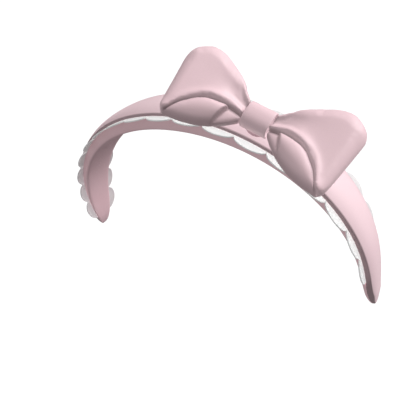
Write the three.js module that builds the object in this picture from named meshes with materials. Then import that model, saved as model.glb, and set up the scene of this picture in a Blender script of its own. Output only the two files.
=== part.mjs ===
// Padded hair band: a sprung hoop in foam and satin, lace along both edges, and a stuffed bow.
// Millimetres. The hoop stands in the XZ plane, +Z up, and the wearer faces -Y.
import * as THREE from 'three';

// ---- Driving dimensions ---------------------------------------------------------------------

// Hoop, measured on the lace, which lies between the lining and the cover
const hoopHalfWidth = 70;
const hoopRise = 58.5;
const legSweep = THREE.MathUtils.degToRad(105);   // from the crown round to each tip
const tipFlare = 6;                               // the tips turn out, off the skin
const tipFlarePower = 14;

// Band across the hoop
const bandWidth = 21;
const taperPower = 1.76;
const taperRoundness = 0.37;
const tipCut = 0.995;                             // where the cloth is closed, as a share of the leg

// Layers, each thickness along the hoop's normal
const layerGap = 0.3;
const laceThickness = 0.5;
const coreThickness = 1;
const coreWidth = 12;
const coverWall = 0.6;
const coverEdgeCrown = 1.1;                       // height of the cover's side wall above the lace
const coverEdgeTip = 2.45;
const padRise = 2.5;                              // how far the padded middle stands above the edges
const foamEdge = 0.2;
const liningCrown = 6;                            // depth of the padded lining under the lace
const liningTip = 1.3;
const liningThinning = 3.5;
const liningWidthShare = 0.93;
const liningChamfer = 0.8;
const innerEndMargin = 8;                         // core and foam stop this far from the tips

// Lace
const scallopPitch = 12.4;
const scallopCount = 17;
const laceShift = -4;                             // middle of the lace from the middle of the hoop
const laceTuck = 3;                               // hidden under the cover
const laceReveal = 0.4;                           // shows at the cusps
const scallopDepth = 3.3;
const scallopSteps = 8;

// Where the hoop flexes: each leg turns about a line at this distance from its tip
const legLength = 54;

// Bow
const bowShift = 32.3;                            // knot from the middle of the hoop, to the right
const bowForward = 5.2;                           // seat on the crown, ahead of the middle line
const bowLean = THREE.MathUtils.degToRad(59);     // bow face, from facing the front to lying flat
const bowSweep = THREE.MathUtils.degToRad(5.8);   // loops angle forward from the knot
const loopLength = 28;
const loopHalfHeight = 15.1;
const loopHalfDepth = 5.6;
const loopRim = 0.5;                              // half depth left at the loop's far edge
const foldHalfDepth = 3.2;
const loopWall = 0.8;
const knotWidth = 9;
const knotHalfHeight = 4.6;
const knotHalfDepth = 3.4;
const knotWall = 0.9;
const threadWall = 0.5;
const threadWidth = 2.6;
const feltThickness = 0.8;
const feltDiameter = 8;

// ---- Colours and finishes -------------------------------------------------------------------

const satin = { color: 0xf3d5db, roughness: 0.55, metalness: 0 };
const liningCloth = { color: 0xc79fa6, roughness: 0.8, metalness: 0 };
const laceCloth = { color: 0xfbf9f6, roughness: 0.85, metalness: 0 };
const bowSatin = { color: 0xecccd3, roughness: 0.5, metalness: 0 };
const foam = { color: 0xf2ead6, roughness: 0.95, metalness: 0 };
const springPlastic = { color: 0xe8e4de, roughness: 0.45, metalness: 0 };
const fibrefill = { color: 0xf7f6f2, roughness: 1, metalness: 0 };
const thread = { color: 0xe7bcc6, roughness: 0.7, metalness: 0 };
const felt = { color: 0xe3bfc7, roughness: 1, metalness: 0 };

// ---- The hoop -------------------------------------------------------------------------------

const across = new THREE.Vector3(0, 1, 0);

// A flattened semicircle from the left tip (t = 0) over the crown to the right tip (t = 1).
class Hoop extends THREE.Curve {
  getPoint(t, target = new THREE.Vector3()) {
    const share = 2 * t - 1;
    const angle = share * legSweep;
    const flare = Math.sign(share) * tipFlare * Math.abs(share) ** tipFlarePower;
    return target.set(hoopHalfWidth * Math.sin(angle) + flare, 0, hoopRise * Math.cos(angle));
  }
}

const hoop = new Hoop();
hoop.arcLengthDivisions = 1200;
const hoopLength = hoop.getLength();
const closeToTip = hoopLength / 2 - 1;
const roundEndStep = 0.4;

// Curve parameter at a distance from the middle of the hoop, positive to the right.
function parameterAt(distance) {
  return hoop.getUtoTmapping(0.5 + distance / hoopLength);
}

// The frame that every section is drawn in: x across the band, y along the hoop's outward normal.
function hoopFrame(t) {
  const tangent = hoop.getTangent(t);
  const outward = new THREE.Vector3(-tangent.z, 0, tangent.x);
  return new THREE.Matrix4().makeBasis(across, outward, tangent).setPosition(hoop.getPoint(t));
}

function taper(t) {
  return (1 - Math.min(Math.abs(2 * t - 1), tipCut) ** taperPower) ** taperRoundness;
}

function halfBand(t) {
  return bandWidth / 2 * taper(t);
}

// Layers thin together where the band closes at a tip.
function tipThinning(t) {
  return Math.min(1, taper(t) / 0.5);
}

function coverEdge(t) {
  const share = Math.abs(2 * t - 1);
  return THREE.MathUtils.lerp(coverEdgeCrown, coverEdgeTip, share ** 2) * tipThinning(t);
}

function coverFoot(t) {
  return (laceThickness / 2 + layerGap) * tipThinning(t);
}

// Height of the cover's outer face above the lace, at a distance y from the middle line.
function coverTop(t, y) {
  return coverEdge(t) + padRise * taper(t) * (1 - (y / halfBand(t)) ** 2);
}

function coverInnerHalf(t) {
  return halfBand(t) - coverWall * tipThinning(t);
}

function coverInnerTop(t, y) {
  const rise = coverTop(t, 0) - coverWall * tipThinning(t) - coverFoot(t);
  return coverFoot(t) + rise * (1 - (y / coverInnerHalf(t)) ** 2);
}

// ---- Solids from a row of sections ----------------------------------------------------------

// Joins closed outlines of equal length into one solid and closes both ends.
// Each section is { frame, outline }, and the outline is a list of Vector2 in that frame's XY plane.
function loft(sections) {
  const count = sections[0].outline.length;
  const positions = [];
  for (const { frame, outline } of sections) {
    for (const point of outline) {
      positions.push(...new THREE.Vector3(point.x, point.y, 0).applyMatrix4(frame));
    }
  }
  const index = [];
  for (let row = 0; row < sections.length - 1; row += 1) {
    for (let k = 0; k < count; k += 1) {
      const a = row * count + k;
      const b = row * count + (k + 1) % count;
      index.push(a, b, b + count, a, b + count, a + count);
    }
  }
  const lastRow = (sections.length - 1) * count;
  for (const [i, j, k] of capTriangles(sections[0].outline)) {
    index.push(k, j, i);
  }
  for (const [i, j, k] of capTriangles(sections[sections.length - 1].outline)) {
    index.push(lastRow + i, lastRow + j, lastRow + k);
  }
  if (enclosedVolume(positions, index) < 0) {
    index.reverse();
  }
  const geometry = new THREE.BufferGeometry();
  geometry.setAttribute('position', new THREE.Float32BufferAttribute(positions, 3));
  geometry.setIndex(index);
  geometry.computeVertexNormals();
  return geometry;
}

// triangulateShape orders its triangles one way whatever the outline's direction, so they are
// turned here to run the way the outline does.
function capTriangles(outline) {
  const faces = THREE.ShapeUtils.triangulateShape(outline, []);
  const outlineArea = THREE.ShapeUtils.area(outline);
  const faceArea = faces.reduce((sum, face) => sum + THREE.ShapeUtils.area(face.map((i) => outline[i])), 0);
  return outlineArea * faceArea < 0 ? faces.map(([i, j, k]) => [k, j, i]) : faces;
}

function enclosedVolume(positions, index) {
  const corner = (i) => new THREE.Vector3().fromArray(positions, 3 * i);
  let volume = 0;
  for (let n = 0; n < index.length; n += 3) {
    volume += corner(index[n]).dot(corner(index[n + 1]).cross(corner(index[n + 2])));
  }
  return volume;
}

// A strip of the band between two distances from the middle, sectionAt(t) giving its outline.
// An odd number of steps puts a flat facet on the middle line. The last steps before a tip are
// halved again and again, because the band closes there in a round end.
function bandStrip(from, to, stepLength, sectionAt) {
  const steps = 2 * Math.round((to - from) / stepLength / 2) + 1;
  const distances = [];
  for (let n = 0; n <= steps; n += 1) {
    distances.push(THREE.MathUtils.lerp(from, to, n / steps));
  }
  for (let closer = (to - from) / steps / 2; closer > roundEndStep; closer /= 2) {
    if (from < -closeToTip) {
      distances.push(from + closer);
    }
    if (to > closeToTip) {
      distances.push(to - closer);
    }
  }
  distances.sort((a, b) => a - b);
  return loft(distances.map((distance) => {
    const t = parameterAt(distance);
    return { frame: hoopFrame(t), outline: sectionAt(t) };
  }));
}

// A mirrored outline: the upper line from left to right, then the lower line back.
function ribbon(halfWidth, lowerHalfWidth, points, upperAt, lowerAt) {
  const upper = [];
  const lower = [];
  for (let n = 0; n < points; n += 1) {
    const share = 2 * n / (points - 1) - 1;
    upper.push(new THREE.Vector2(share * halfWidth, upperAt(share * halfWidth)));
    lower.push(new THREE.Vector2(-share * lowerHalfWidth, lowerAt(-share * lowerHalfWidth)));
  }
  return [...upper, ...lower];
}

// ---- Sections of the band's layers ----------------------------------------------------------

function coverSection(t) {
  const half = halfBand(t);
  const foot = coverFoot(t);
  const arch = ribbon(half, coverInnerHalf(t), 11, (y) => coverTop(t, y), (y) => coverInnerTop(t, y));
  return [new THREE.Vector2(-half, foot), ...arch.slice(0, 11), new THREE.Vector2(half, foot), ...arch.slice(11)];
}

function foamSection(t) {
  const foot = coreTop + layerGap;
  const innerRise = coverInnerTop(t, 0) - coverFoot(t);
  const edgeShare = (foot + foamEdge + layerGap - coverFoot(t)) / innerRise;
  const half = coverInnerHalf(t) * Math.sqrt(1 - edgeShare);
  return ribbon(half, half, 7, (y) => coverInnerTop(t, y) - layerGap, () => foot);
}

function coreSection(t) {
  const half = Math.min(coreWidth / 2, halfBand(t) - laceTuck - layerGap);
  return ribbon(half, half, 2, () => coreTop, () => coreTop - coreThickness);
}

function liningSection(t) {
  const half = halfBand(t) * liningWidthShare;
  const top = -laceThickness / 2 - layerGap;
  const depth = THREE.MathUtils.lerp(liningTip, liningCrown, taper(t) ** liningThinning);
  const chamfer = Math.min(liningChamfer, (depth + top) / 2, half / 2);
  return [
    new THREE.Vector2(-half, top),
    new THREE.Vector2(half, top),
    new THREE.Vector2(half, chamfer - depth),
    new THREE.Vector2(half - chamfer, -depth),
    new THREE.Vector2(chamfer - half, -depth),
    new THREE.Vector2(-half, chamfer - depth),
  ];
}

const coreTop = coreThickness - laceThickness / 2;

// ---- The lace -------------------------------------------------------------------------------

const laceStart = laceShift - scallopPitch * scallopCount / 2;
const laceEnd = laceShift + scallopPitch * scallopCount / 2;

// Round scallops, meeting at cusps.
function scallopReach(distance) {
  const phase = (distance - laceStart) / scallopPitch;
  const along = 2 * (phase - Math.floor(phase)) - 1;
  return laceReveal + scallopDepth * Math.sqrt(Math.max(0, 1 - along ** 2));
}

// The lace between two distances from the middle, on the front edge (side -1) or the rear (side 1).
function laceStrip(from, to, side) {
  const stations = [from];
  for (let n = 0; n <= scallopCount * scallopSteps; n += 1) {
    const distance = laceStart + n * scallopPitch / scallopSteps;
    if (distance > from + 0.4 && distance < to - 0.4) {
      stations.push(distance);
    }
  }
  stations.push(to);
  return loft(stations.map((distance) => {
    const t = parameterAt(distance);
    const inner = side * (halfBand(t) - laceTuck);
    const outer = side * (halfBand(t) + scallopReach(distance));
    const half = laceThickness / 2;
    return {
      frame: hoopFrame(t),
      outline: [
        new THREE.Vector2(inner, -half),
        new THREE.Vector2(outer, -half),
        new THREE.Vector2(outer, half),
        new THREE.Vector2(inner, half),
      ],
    };
  }));
}

// ---- The bow --------------------------------------------------------------------------------

// Its own frame: X along the loops, Y up the knot, Z out of the bow's face. The back of the knot
// rests on the felt pad, which lies on the crown of the cover.
function bowFrame() {
  const t = parameterAt(bowShift);
  const seat = new THREE.Vector3(-bowForward, coverTop(t, -bowForward) + feltThickness + 2 * layerGap, 0);
  const frame = hoopFrame(t);
  const lean = new THREE.Matrix4().makeBasis(
    new THREE.Vector3(0, 0, 1),
    new THREE.Vector3(Math.sin(bowLean), Math.cos(bowLean), 0),
    new THREE.Vector3(-Math.cos(bowLean), Math.sin(bowLean), 0),
  );
  return frame.multiply(lean.setPosition(seat)).multiply(new THREE.Matrix4().makeTranslation(0, 0, knotHalfDepth));
}

function ovalOutline(centreY, centreZ, halfY, halfZ, points = 16) {
  const outline = [];
  for (let n = 0; n < points; n += 1) {
    const angle = 2 * Math.PI * n / points;
    outline.push(new THREE.Vector2(centreY + halfY * Math.cos(angle), centreZ + halfZ * Math.sin(angle)));
  }
  return outline;
}

// A section plane across the bow at a distance x along one loop.
function bowPlane(x) {
  return new THREE.Matrix4().makeBasis(
    new THREE.Vector3(0, 1, 0),
    new THREE.Vector3(0, 0, 1),
    new THREE.Vector3(1, 0, 0),
  ).setPosition(x, 0, 0);
}

// The loops' mouths clear the knot's ends by layerGap, also where the sweep swings them back.
const mouthShare = 0.42;
const loopStart = knotWidth / 2 + layerGap + (loopHalfDepth * mouthShare + loopRim) * Math.sin(bowSweep);

// Edges of the loop as smooth curves over its length, as shares of loopHalfHeight.
const loopUpperEdge = new THREE.SplineCurve([
  new THREE.Vector2(0, 0.27), new THREE.Vector2(0.28, 0.68), new THREE.Vector2(0.6, 0.97),
  new THREE.Vector2(0.76, 1), new THREE.Vector2(0.92, 0.8), new THREE.Vector2(1, 0.45),
]);
const creaseLine = new THREE.SplineCurve([
  new THREE.Vector2(0, -0.11), new THREE.Vector2(0.2, -0.09), new THREE.Vector2(0.4, -0.14),
  new THREE.Vector2(0.57, -0.28), new THREE.Vector2(0.7, -0.55), new THREE.Vector2(0.8, -0.84),
  new THREE.Vector2(0.88, -0.9), new THREE.Vector2(0.94, -0.5), new THREE.Vector2(1, 0.1),
]);
const loopLowerEdge = new THREE.SplineCurve([
  new THREE.Vector2(0, -0.3), new THREE.Vector2(0.2, -0.56), new THREE.Vector2(0.4, -0.77),
  new THREE.Vector2(0.65, -0.98), new THREE.Vector2(0.78, -1.01),
]);

// Height of such a curve at a share of the loop's length. The curves run one way along the loop.
function edgeHeight(curve, share) {
  let low = 0;
  let high = 1;
  for (let n = 0; n < 30; n += 1) {
    const middle = (low + high) / 2;
    if (curve.getPoint(middle).x < share) {
      low = middle;
    } else {
      high = middle;
    }
  }
  return curve.getPoint(low).y * loopHalfHeight;
}

// Half depth of the stuffed loop: pinched at the knot, full at two thirds, thin at the far edge.
function loopDepth(share) {
  const fullness = mouthShare + (1 - mouthShare) * Math.sin(Math.PI * Math.min(1, share * 0.8));
  return loopHalfDepth * fullness * (1 - share ** 6) + loopRim;
}

const loopShares = [0, 0.12, 0.26, 0.4, 0.54, 0.68, 0.8, 0.9, 0.96, 1];

// Sections of the upper loop, drawn in by inset on every side.
function loopSections(inset, shares) {
  return shares.map((share) => {
    const upper = edgeHeight(loopUpperEdge, share) - inset;
    const lower = edgeHeight(creaseLine, share) + inset;
    return {
      frame: bowPlane(loopStart + share * loopLength),
      outline: ovalOutline((upper + lower) / 2, 0, (upper - lower) / 2, loopDepth(share) - inset * 0.6),
    };
  });
}

// The loop is a pocket: its mouth is at the knot, where the stuffing goes in.
function loopPocket() {
  const innerShares = loopShares.slice(0, -2);
  return loft([...loopSections(0, loopShares).reverse(), ...loopSections(loopWall, innerShares)]);
}

function loopStuffing() {
  return loft(loopSections(loopWall + layerGap, loopShares.slice(1, -3)));
}

// The lower leaf of the loop, folded under the crease.
function lowerFold() {
  const shares = [0, 0.12, 0.26, 0.4, 0.54, 0.66, 0.74, 0.78];
  return loft(shares.map((share) => {
    const upper = edgeHeight(creaseLine, share) - layerGap;
    const lower = edgeHeight(loopLowerEdge, share);
    const fullness = 0.45 + 0.55 * Math.sin(Math.PI * Math.min(1, share / 0.8) ** 0.8);
    return {
      frame: bowPlane(loopStart + share * loopLength),
      outline: ovalOutline((upper + lower) / 2, 0, (upper - lower) / 2, foldHalfDepth * fullness),
    };
  }));
}

// A sleeve about the bow's X axis.
function sleeve(width, halfY, halfZ, wall) {
  const outer = ovalOutline(0, 0, halfY, halfZ, 24);
  const inner = ovalOutline(0, 0, halfY - wall, halfZ - wall, 24).reverse();
  const shape = new THREE.Shape(outer);
  shape.holes.push(new THREE.Path(inner));
  const geometry = new THREE.ExtrudeGeometry(shape, { depth: width, bevelEnabled: false });
  return geometry.translate(0, 0, -width / 2).applyMatrix4(bowPlane(0));
}

// Gathered cloth inside the knot, with a neck that the thread is wound in.
function gatheredWaist() {
  const fullY = knotHalfHeight - knotWall - layerGap;
  const fullZ = knotHalfDepth - knotWall - layerGap;
  const neck = threadWall + layerGap;
  const stops = [
    [-knotWidth / 2, 0], [-threadWidth / 2 - layerGap, 0], [-threadWidth / 2 - layerGap + 0.05, neck],
    [threadWidth / 2 + layerGap - 0.05, neck], [threadWidth / 2 + layerGap, 0], [knotWidth / 2, 0],
  ];
  return loft(stops.map(([x, drawnIn]) => ({
    frame: bowPlane(x),
    outline: ovalOutline(0, 0, fullY - drawnIn, fullZ - drawnIn, 24),
  })));
}

function boundThread() {
  return sleeve(
    threadWidth,
    knotHalfHeight - knotWall - layerGap,
    knotHalfDepth - knotWall - layerGap,
    threadWall,
  );
}

// ---- Assembly -------------------------------------------------------------------------------

const band = new THREE.Group();

function addMesh(parent, name, geometry, finish) {
  const mesh = new THREE.Mesh(geometry, new THREE.MeshStandardMaterial(finish));
  mesh.name = name;
  parent.add(mesh);
  return mesh;
}

// The three stretches of the band, cut where the legs flex.
const tipDistance = hoopLength / 2 * tipCut;
const flexDistance = hoopLength / 2 - legLength;
const stretches = {
  left: [-tipDistance, -flexDistance - layerGap / 2],
  crown: [-flexDistance + layerGap / 2, flexDistance - layerGap / 2],
  right: [flexDistance + layerGap / 2, tipDistance],
};

for (const [name, [from, to]] of Object.entries(stretches)) {
  const innerFrom = Math.max(from, innerEndMargin - hoopLength / 2);
  const innerTo = Math.min(to, hoopLength / 2 - innerEndMargin);
  addMesh(band, `${name}_cover`, bandStrip(from, to, 4, coverSection), satin);
  addMesh(band, `${name}_foam_pad`, bandStrip(innerFrom, innerTo, 5, foamSection), foam);
  addMesh(band, `${name}_spring_core`, bandStrip(innerFrom, innerTo, 4, coreSection), springPlastic);
  addMesh(band, `${name}_lining`, bandStrip(from, to, 4, liningSection), liningCloth);
  addMesh(band, `${name}_lace_front`, laceStrip(Math.max(from, laceStart), Math.min(to, laceEnd), -1), laceCloth);
  addMesh(band, `${name}_lace_rear`, laceStrip(Math.max(from, laceStart), Math.min(to, laceEnd), 1), laceCloth);
}

const bow = new THREE.Group();
bow.applyMatrix4(bowFrame());
band.add(bow);

addMesh(bow, 'bow_knot', sleeve(knotWidth, knotHalfHeight, knotHalfDepth, knotWall), bowSatin);
addMesh(bow, 'bow_waist', gatheredWaist(), bowSatin);
addMesh(bow, 'bow_waist_thread', boundThread(), thread);

// Both loops are the same shape, the left one reflected through the knot's middle plane.
for (const [side, mirror] of [['right', 1], ['left', -1]]) {
  const swept = new THREE.Matrix4().makeRotationY(-mirror * bowSweep);
  const place = (geometry) => {
    if (mirror < 0) {
      geometry.scale(-1, 1, 1);
      geometry.index.array.reverse();
    }
    return geometry.applyMatrix4(swept);
  };
  addMesh(bow, `bow_loop_${side}`, place(loopPocket()), bowSatin);
  addMesh(bow, `bow_fold_${side}`, place(lowerFold()), bowSatin);
  addMesh(bow, `bow_stuffing_${side}`, place(loopStuffing()), fibrefill);
}

// The felt pad lies on the slope of the cover under the knot.
const padParameter = parameterAt(bowShift);
const padSlope = Math.atan(2 * padRise * taper(padParameter) * bowForward / halfBand(padParameter) ** 2);
const padMount = new THREE.Group();
padMount.applyMatrix4(hoopFrame(padParameter));
band.add(padMount);
const padGeometry = new THREE.CylinderGeometry(feltDiameter / 2, feltDiameter / 2, feltThickness, 24);
const pad = addMesh(padMount, 'bow_felt_pad', padGeometry, felt);
pad.rotation.z = padSlope;
pad.position.set(-bowForward, coverTop(padParameter, -bowForward) + layerGap + feltThickness / 2, 0);

export default band;
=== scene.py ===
"""Padded satin hair band with a lace edge and a stuffed bow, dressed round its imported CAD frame.

Lengths are in metres. The band is cut and sewn flat, as distance along the hoop, place across
the band and height above the lace, and is then wrapped round the hoop.
"""

import bisect
import logging
import math
from collections.abc import Callable, Iterable, Sequence
from dataclasses import dataclass, field
from enum import Enum
from functools import lru_cache

import bmesh
import bpy
from mathutils import Matrix, Vector, noise


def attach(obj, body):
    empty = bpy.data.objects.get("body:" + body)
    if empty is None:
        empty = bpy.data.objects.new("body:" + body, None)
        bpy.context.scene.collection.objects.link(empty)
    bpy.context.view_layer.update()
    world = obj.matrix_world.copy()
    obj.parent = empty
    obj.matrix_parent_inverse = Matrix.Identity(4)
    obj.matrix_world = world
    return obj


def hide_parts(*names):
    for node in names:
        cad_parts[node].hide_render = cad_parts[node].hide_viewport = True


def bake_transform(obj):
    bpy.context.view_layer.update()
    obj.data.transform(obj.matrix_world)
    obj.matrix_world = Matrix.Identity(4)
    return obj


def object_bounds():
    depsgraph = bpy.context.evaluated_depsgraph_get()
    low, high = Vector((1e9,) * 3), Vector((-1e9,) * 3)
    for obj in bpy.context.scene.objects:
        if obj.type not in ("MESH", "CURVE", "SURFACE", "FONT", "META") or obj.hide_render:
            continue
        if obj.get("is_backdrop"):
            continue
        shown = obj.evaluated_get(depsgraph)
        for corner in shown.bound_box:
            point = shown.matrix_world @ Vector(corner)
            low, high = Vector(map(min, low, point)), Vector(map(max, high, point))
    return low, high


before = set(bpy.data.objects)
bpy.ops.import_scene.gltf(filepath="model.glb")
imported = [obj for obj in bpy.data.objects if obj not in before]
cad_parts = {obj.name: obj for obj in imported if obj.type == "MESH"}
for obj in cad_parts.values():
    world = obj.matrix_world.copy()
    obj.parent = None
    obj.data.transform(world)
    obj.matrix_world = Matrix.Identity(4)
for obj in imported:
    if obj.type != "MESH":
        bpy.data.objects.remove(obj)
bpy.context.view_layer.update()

log = logging.getLogger("hair_band")

MM = 0.001
WELD = 1e-7
NEAR = 1e-6


class Side(Enum):
    """The wearer's left or right half, as the sign of its X."""

    LEFT = -1
    RIGHT = 1

    @property
    def word(self) -> str:
        """The side's name as the CAD nodes spell it."""
        return self.name.lower()


class Edge(Enum):
    """The band's front or rear edge, as the sign of its Y."""

    FRONT = -1
    REAR = 1


def lerp(a: float, b: float, share: float) -> float:
    """The value at a share of the way from a to b."""
    return a + (b - a) * share


def smooth_step(low: float, high: float, value: float) -> float:
    """Rises smoothly from 0 at low to 1 at high."""
    share = min(1.0, max(0.0, (value - low) / (high - low)))
    return share * share * (3 - 2 * share)


def bell(value: float, centre: float, width: float) -> float:
    """A smooth hump of height 1 at the centre."""
    return math.exp(-(((value - centre) / width) ** 2))


# ---- Finishes -------------------------------------------------------------------------------


def srgb(red: int, green: int, blue: int) -> tuple[float, float, float, float]:
    """A screen colour, 0 to 255 a channel, as the linear colour that shaders take."""
    shares = [channel / 255 for channel in (red, green, blue)]
    linear = [share / 12.92 if share <= 0.04 else ((share + 0.055) / 1.055) ** 2.4 for share in shares]
    return (*linear, 1.0)


class ShaderBench:
    """One material under construction, with short calls for its nodes."""

    def __init__(self, name: str) -> None:
        """Starts a material that holds a Principled shader and its output.

        Args:
            name: The material's name.
        """
        self.material = bpy.data.materials.new(name)
        self.material.use_nodes = True
        self.tree = self.material.node_tree
        self.tree.nodes.clear()
        self.shader = self.tree.nodes.new("ShaderNodeBsdfPrincipled")
        output = self.tree.nodes.new("ShaderNodeOutputMaterial")
        self.tree.links.new(self.shader.outputs["BSDF"], output.inputs["Surface"])

    def node(self, kind: str, inputs: dict[str, object] | None = None, **settings: object) -> bpy.types.Node:
        """Adds a node.

        Args:
            kind: The node's type, without its ShaderNode prefix.
            inputs: Values or sockets for its inputs, by name.
            **settings: Values for the node's own properties.

        Returns:
            The new node.
        """
        made = self.tree.nodes.new("ShaderNode" + kind)
        for key, value in settings.items():
            setattr(made, key, value)
        for key, value in (inputs or {}).items():
            self.feed(made, key, value)
        return made

    def feed(self, node: bpy.types.Node, key: str | int, value: object) -> None:
        """Sets one input of a node, from a value or from another node's socket."""
        if isinstance(value, bpy.types.NodeSocket):
            self.tree.links.new(value, node.inputs[key])
        else:
            node.inputs[key].default_value = value

    def body(self) -> bpy.types.NodeSocket:
        """The coordinates of the piece itself, in metres."""
        return self.node("TexCoord").outputs["Object"]

    def mark(self, name: str) -> bpy.types.NodeSocket:
        """The value that is painted on the piece's points under a name."""
        return self.node("Attribute", attribute_name=name).outputs["Fac"]

    def maths(self, operation: str, a: object, b: object = 0.0) -> bpy.types.NodeSocket:
        """The result of a Math node.

        Args:
            operation: Its operation.
            a: First value or socket.
            b: Second value or socket.

        Returns:
            Its output socket.
        """
        made = self.tree.nodes.new("ShaderNodeMath")
        made.operation = operation
        self.feed(made, 0, a)
        self.feed(made, 1, b)
        return made.outputs[0]

    def blend(self, share: object, a: object, b: object, mode: str = "MIX") -> bpy.types.NodeSocket:
        """Two colours mixed.

        Args:
            share: How much of b, as a value or socket.
            a: First colour or socket.
            b: Second colour or socket.
            mode: The Mix node's blend type.

        Returns:
            The mixed colour's socket.
        """
        made = self.tree.nodes.new("ShaderNodeMix")
        made.data_type = "RGBA"
        made.blend_type = mode
        self.feed(made, 0, share)
        self.feed(made, 6, a)
        self.feed(made, 7, b)
        return made.outputs[2]

    def noise(self, where: object, scale: float, detail: float = 3.0) -> bpy.types.NodeSocket:
        """The value of a Noise texture at a scale, on the given coordinates."""
        inputs = {"Vector": where, "Scale": scale, "Detail": detail}
        return self.node("TexNoise", inputs).outputs[0]

    def range(self, value: object, low: float, high: float) -> bpy.types.NodeSocket:
        """A value from 0 to 1 stretched to run from low to high."""
        return self.node("MapRange", {"Value": value, "To Min": low, "To Max": high}).outputs[0]

    def bump(
        self, height: object, strength: float, distance: float, under: object = None
    ) -> bpy.types.NodeSocket:
        """A Bump node's normal.

        Args:
            height: Height socket.
            strength: How much of the bump shows.
            distance: Its height in metres.
            under: A coarser bump's normal, if there is one.

        Returns:
            The normal's socket.
        """
        inputs = {"Height": height, "Strength": strength, "Distance": distance}
        if under is not None:
            inputs["Normal"] = under
        return self.node("Bump", inputs).outputs[0]

    def set(self, **values: object) -> None:
        """Sets the shader's own inputs, with spaces in their names written as underscores."""
        for key, value in values.items():
            self.feed(self.shader, key.replace("_", " "), value)


@dataclass(frozen=True)
class Grain:
    """Where a cloth's pattern lies: on the sewn piece's own UV map, or square to a frame in space."""

    uv_name: str = ""
    turn: tuple[float, float, float] = (0.0, 0.0, 0.0)

    def socket(self, bench: ShaderBench) -> bpy.types.NodeSocket:
        """The coordinates in metres."""
        if self.uv_name:
            return bench.node("UVMap", uv_map=self.uv_name).outputs[0]
        return bench.node("Mapping", {"Vector": bench.body(), "Rotation": self.turn}).outputs[0]


@dataclass(frozen=True)
class Finish:
    """What every finish has: a name, a main colour and the shade that it falls to."""

    name: str
    colour: tuple[int, int, int]
    shade: tuple[int, int, int]

    def build(self) -> bpy.types.Material:
        """Makes the material."""
        bench = ShaderBench(self.name)
        self.lay(bench, srgb(*self.colour), srgb(*self.shade))
        return bench.material

    def lay(self, bench: ShaderBench, colour: tuple[float, ...], shade: tuple[float, ...]) -> None:
        """Wires the pattern and the surface.

        Args:
            bench: The material that is being made.
            colour: The finish's main colour.
            shade: The shade that it falls to.
        """
        raise NotImplementedError


@dataclass(frozen=True)
class SatinFinish(Finish):
    """Soft satin: long staggered floats of thread, a broad sheen and faint unevenness of dye."""

    grain: Grain
    seam_shade: tuple[int, int, int] = (150, 126, 131)
    float_length: float = 1.3 * MM
    thread_pitch: float = 0.24 * MM
    groove: float = 0.16
    roughness: float = 0.5

    def lay(self, bench: ShaderBench, colour: tuple[float, ...], shade: tuple[float, ...]) -> None:
        """Wires the floats, the dye and the painted shade on the cover's side walls and in the bow's creases.
        """
        body = bench.body()
        floats = bench.node(
            "TexBrick",
            {
                "Vector": self.grain.socket(bench), "Color1": (1, 1, 1, 1), "Color2": (0.86, 0.86, 0.86, 1),
                "Mortar": (0.3, 0.3, 0.3, 1), "Mortar Size": self.thread_pitch * self.groove,
                "Mortar Smooth": 0.8, "Scale": 1.0,
                "Brick Width": self.float_length, "Row Height": self.thread_pitch,
            },
            offset=0.4, offset_frequency=3, squash=1.0,
        ).outputs["Color"]
        dye = bench.noise(body, 45, 4)
        pucker = bench.noise(body, 260, 3)
        tone = bench.blend(bench.range(dye, -0.35, 0.75), colour, shade)
        # Painted shade: the marked side walls and bow creases darken towards the grey-pink shade colour.
        shaded_share = bench.maths("MULTIPLY", bench.mark("seam"), 0.9)
        tone = bench.blend(shaded_share, tone, srgb(*self.seam_shade))
        tone = bench.blend(0.1, tone, floats, "MULTIPLY")
        creased = bench.bump(pucker, 0.3, 0.12 * MM)
        woven = bench.bump(floats, 0.14, 0.03 * MM, creased)
        rough = bench.range(bench.noise(body, 130, 2), self.roughness - 0.07, self.roughness + 0.09)
        bench.set(
            Base_Color=tone, Roughness=rough, Normal=woven, Sheen_Weight=0.35, Sheen_Roughness=0.35,
            Sheen_Tint=srgb(255, 226, 232), Specular_IOR_Level=0.38,
        )


@dataclass(frozen=True)
class TricotFinish(Finish):
    """Brushed knit lining: fine wales along the band under a short nap."""

    name: str = "lining tricot"
    colour: tuple[int, int, int] = (253, 218, 224)
    shade: tuple[int, int, int] = (242, 202, 209)
    handled_shade: tuple[int, int, int] = (168, 128, 138)
    wale: float = 0.55 * MM
    grain: Grain = Grain("cloth")

    def lay(self, bench: ShaderBench, colour: tuple[float, ...], shade: tuple[float, ...]) -> None:
        """Wires the wales, the nap and the painted shade on the lining's inner face."""
        body = bench.body()
        wales = bench.node(
            "TexWave",
            {
                "Vector": self.grain.socket(bench), "Scale": math.tau / 20 / self.wale, "Distortion": 1.6,
                "Detail": 2.0, "Detail Scale": 2.0,
            },
            wave_type="BANDS", bands_direction="Y",
        ).outputs["Fac"]
        nap = bench.noise(body, 2600, 2)
        brushed = bench.noise(body, 70, 4)
        tone = bench.blend(bench.range(brushed, -0.3, 1.0), colour, shade)
        tone = bench.blend(bench.range(wales, 0.0, 0.22), tone, shade)
        # Painted shade: the marked lining darkens towards a dusky pink.
        inner_shading = bench.maths("MULTIPLY", bench.mark("seam"), 0.45)
        tone = bench.blend(inner_shading, tone, srgb(*self.handled_shade))
        knit = bench.bump(wales, 0.35, 0.06 * MM)
        fuzzy = bench.bump(nap, 0.3, 0.05 * MM, knit)
        rough = bench.range(nap, 0.72, 0.92)
        bench.set(
            Base_Color=tone, Roughness=rough, Normal=fuzzy, Sheen_Weight=0.3, Sheen_Roughness=0.5,
            Sheen_Tint=srgb(250, 224, 230), Specular_IOR_Level=0.2,
        )


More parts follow.
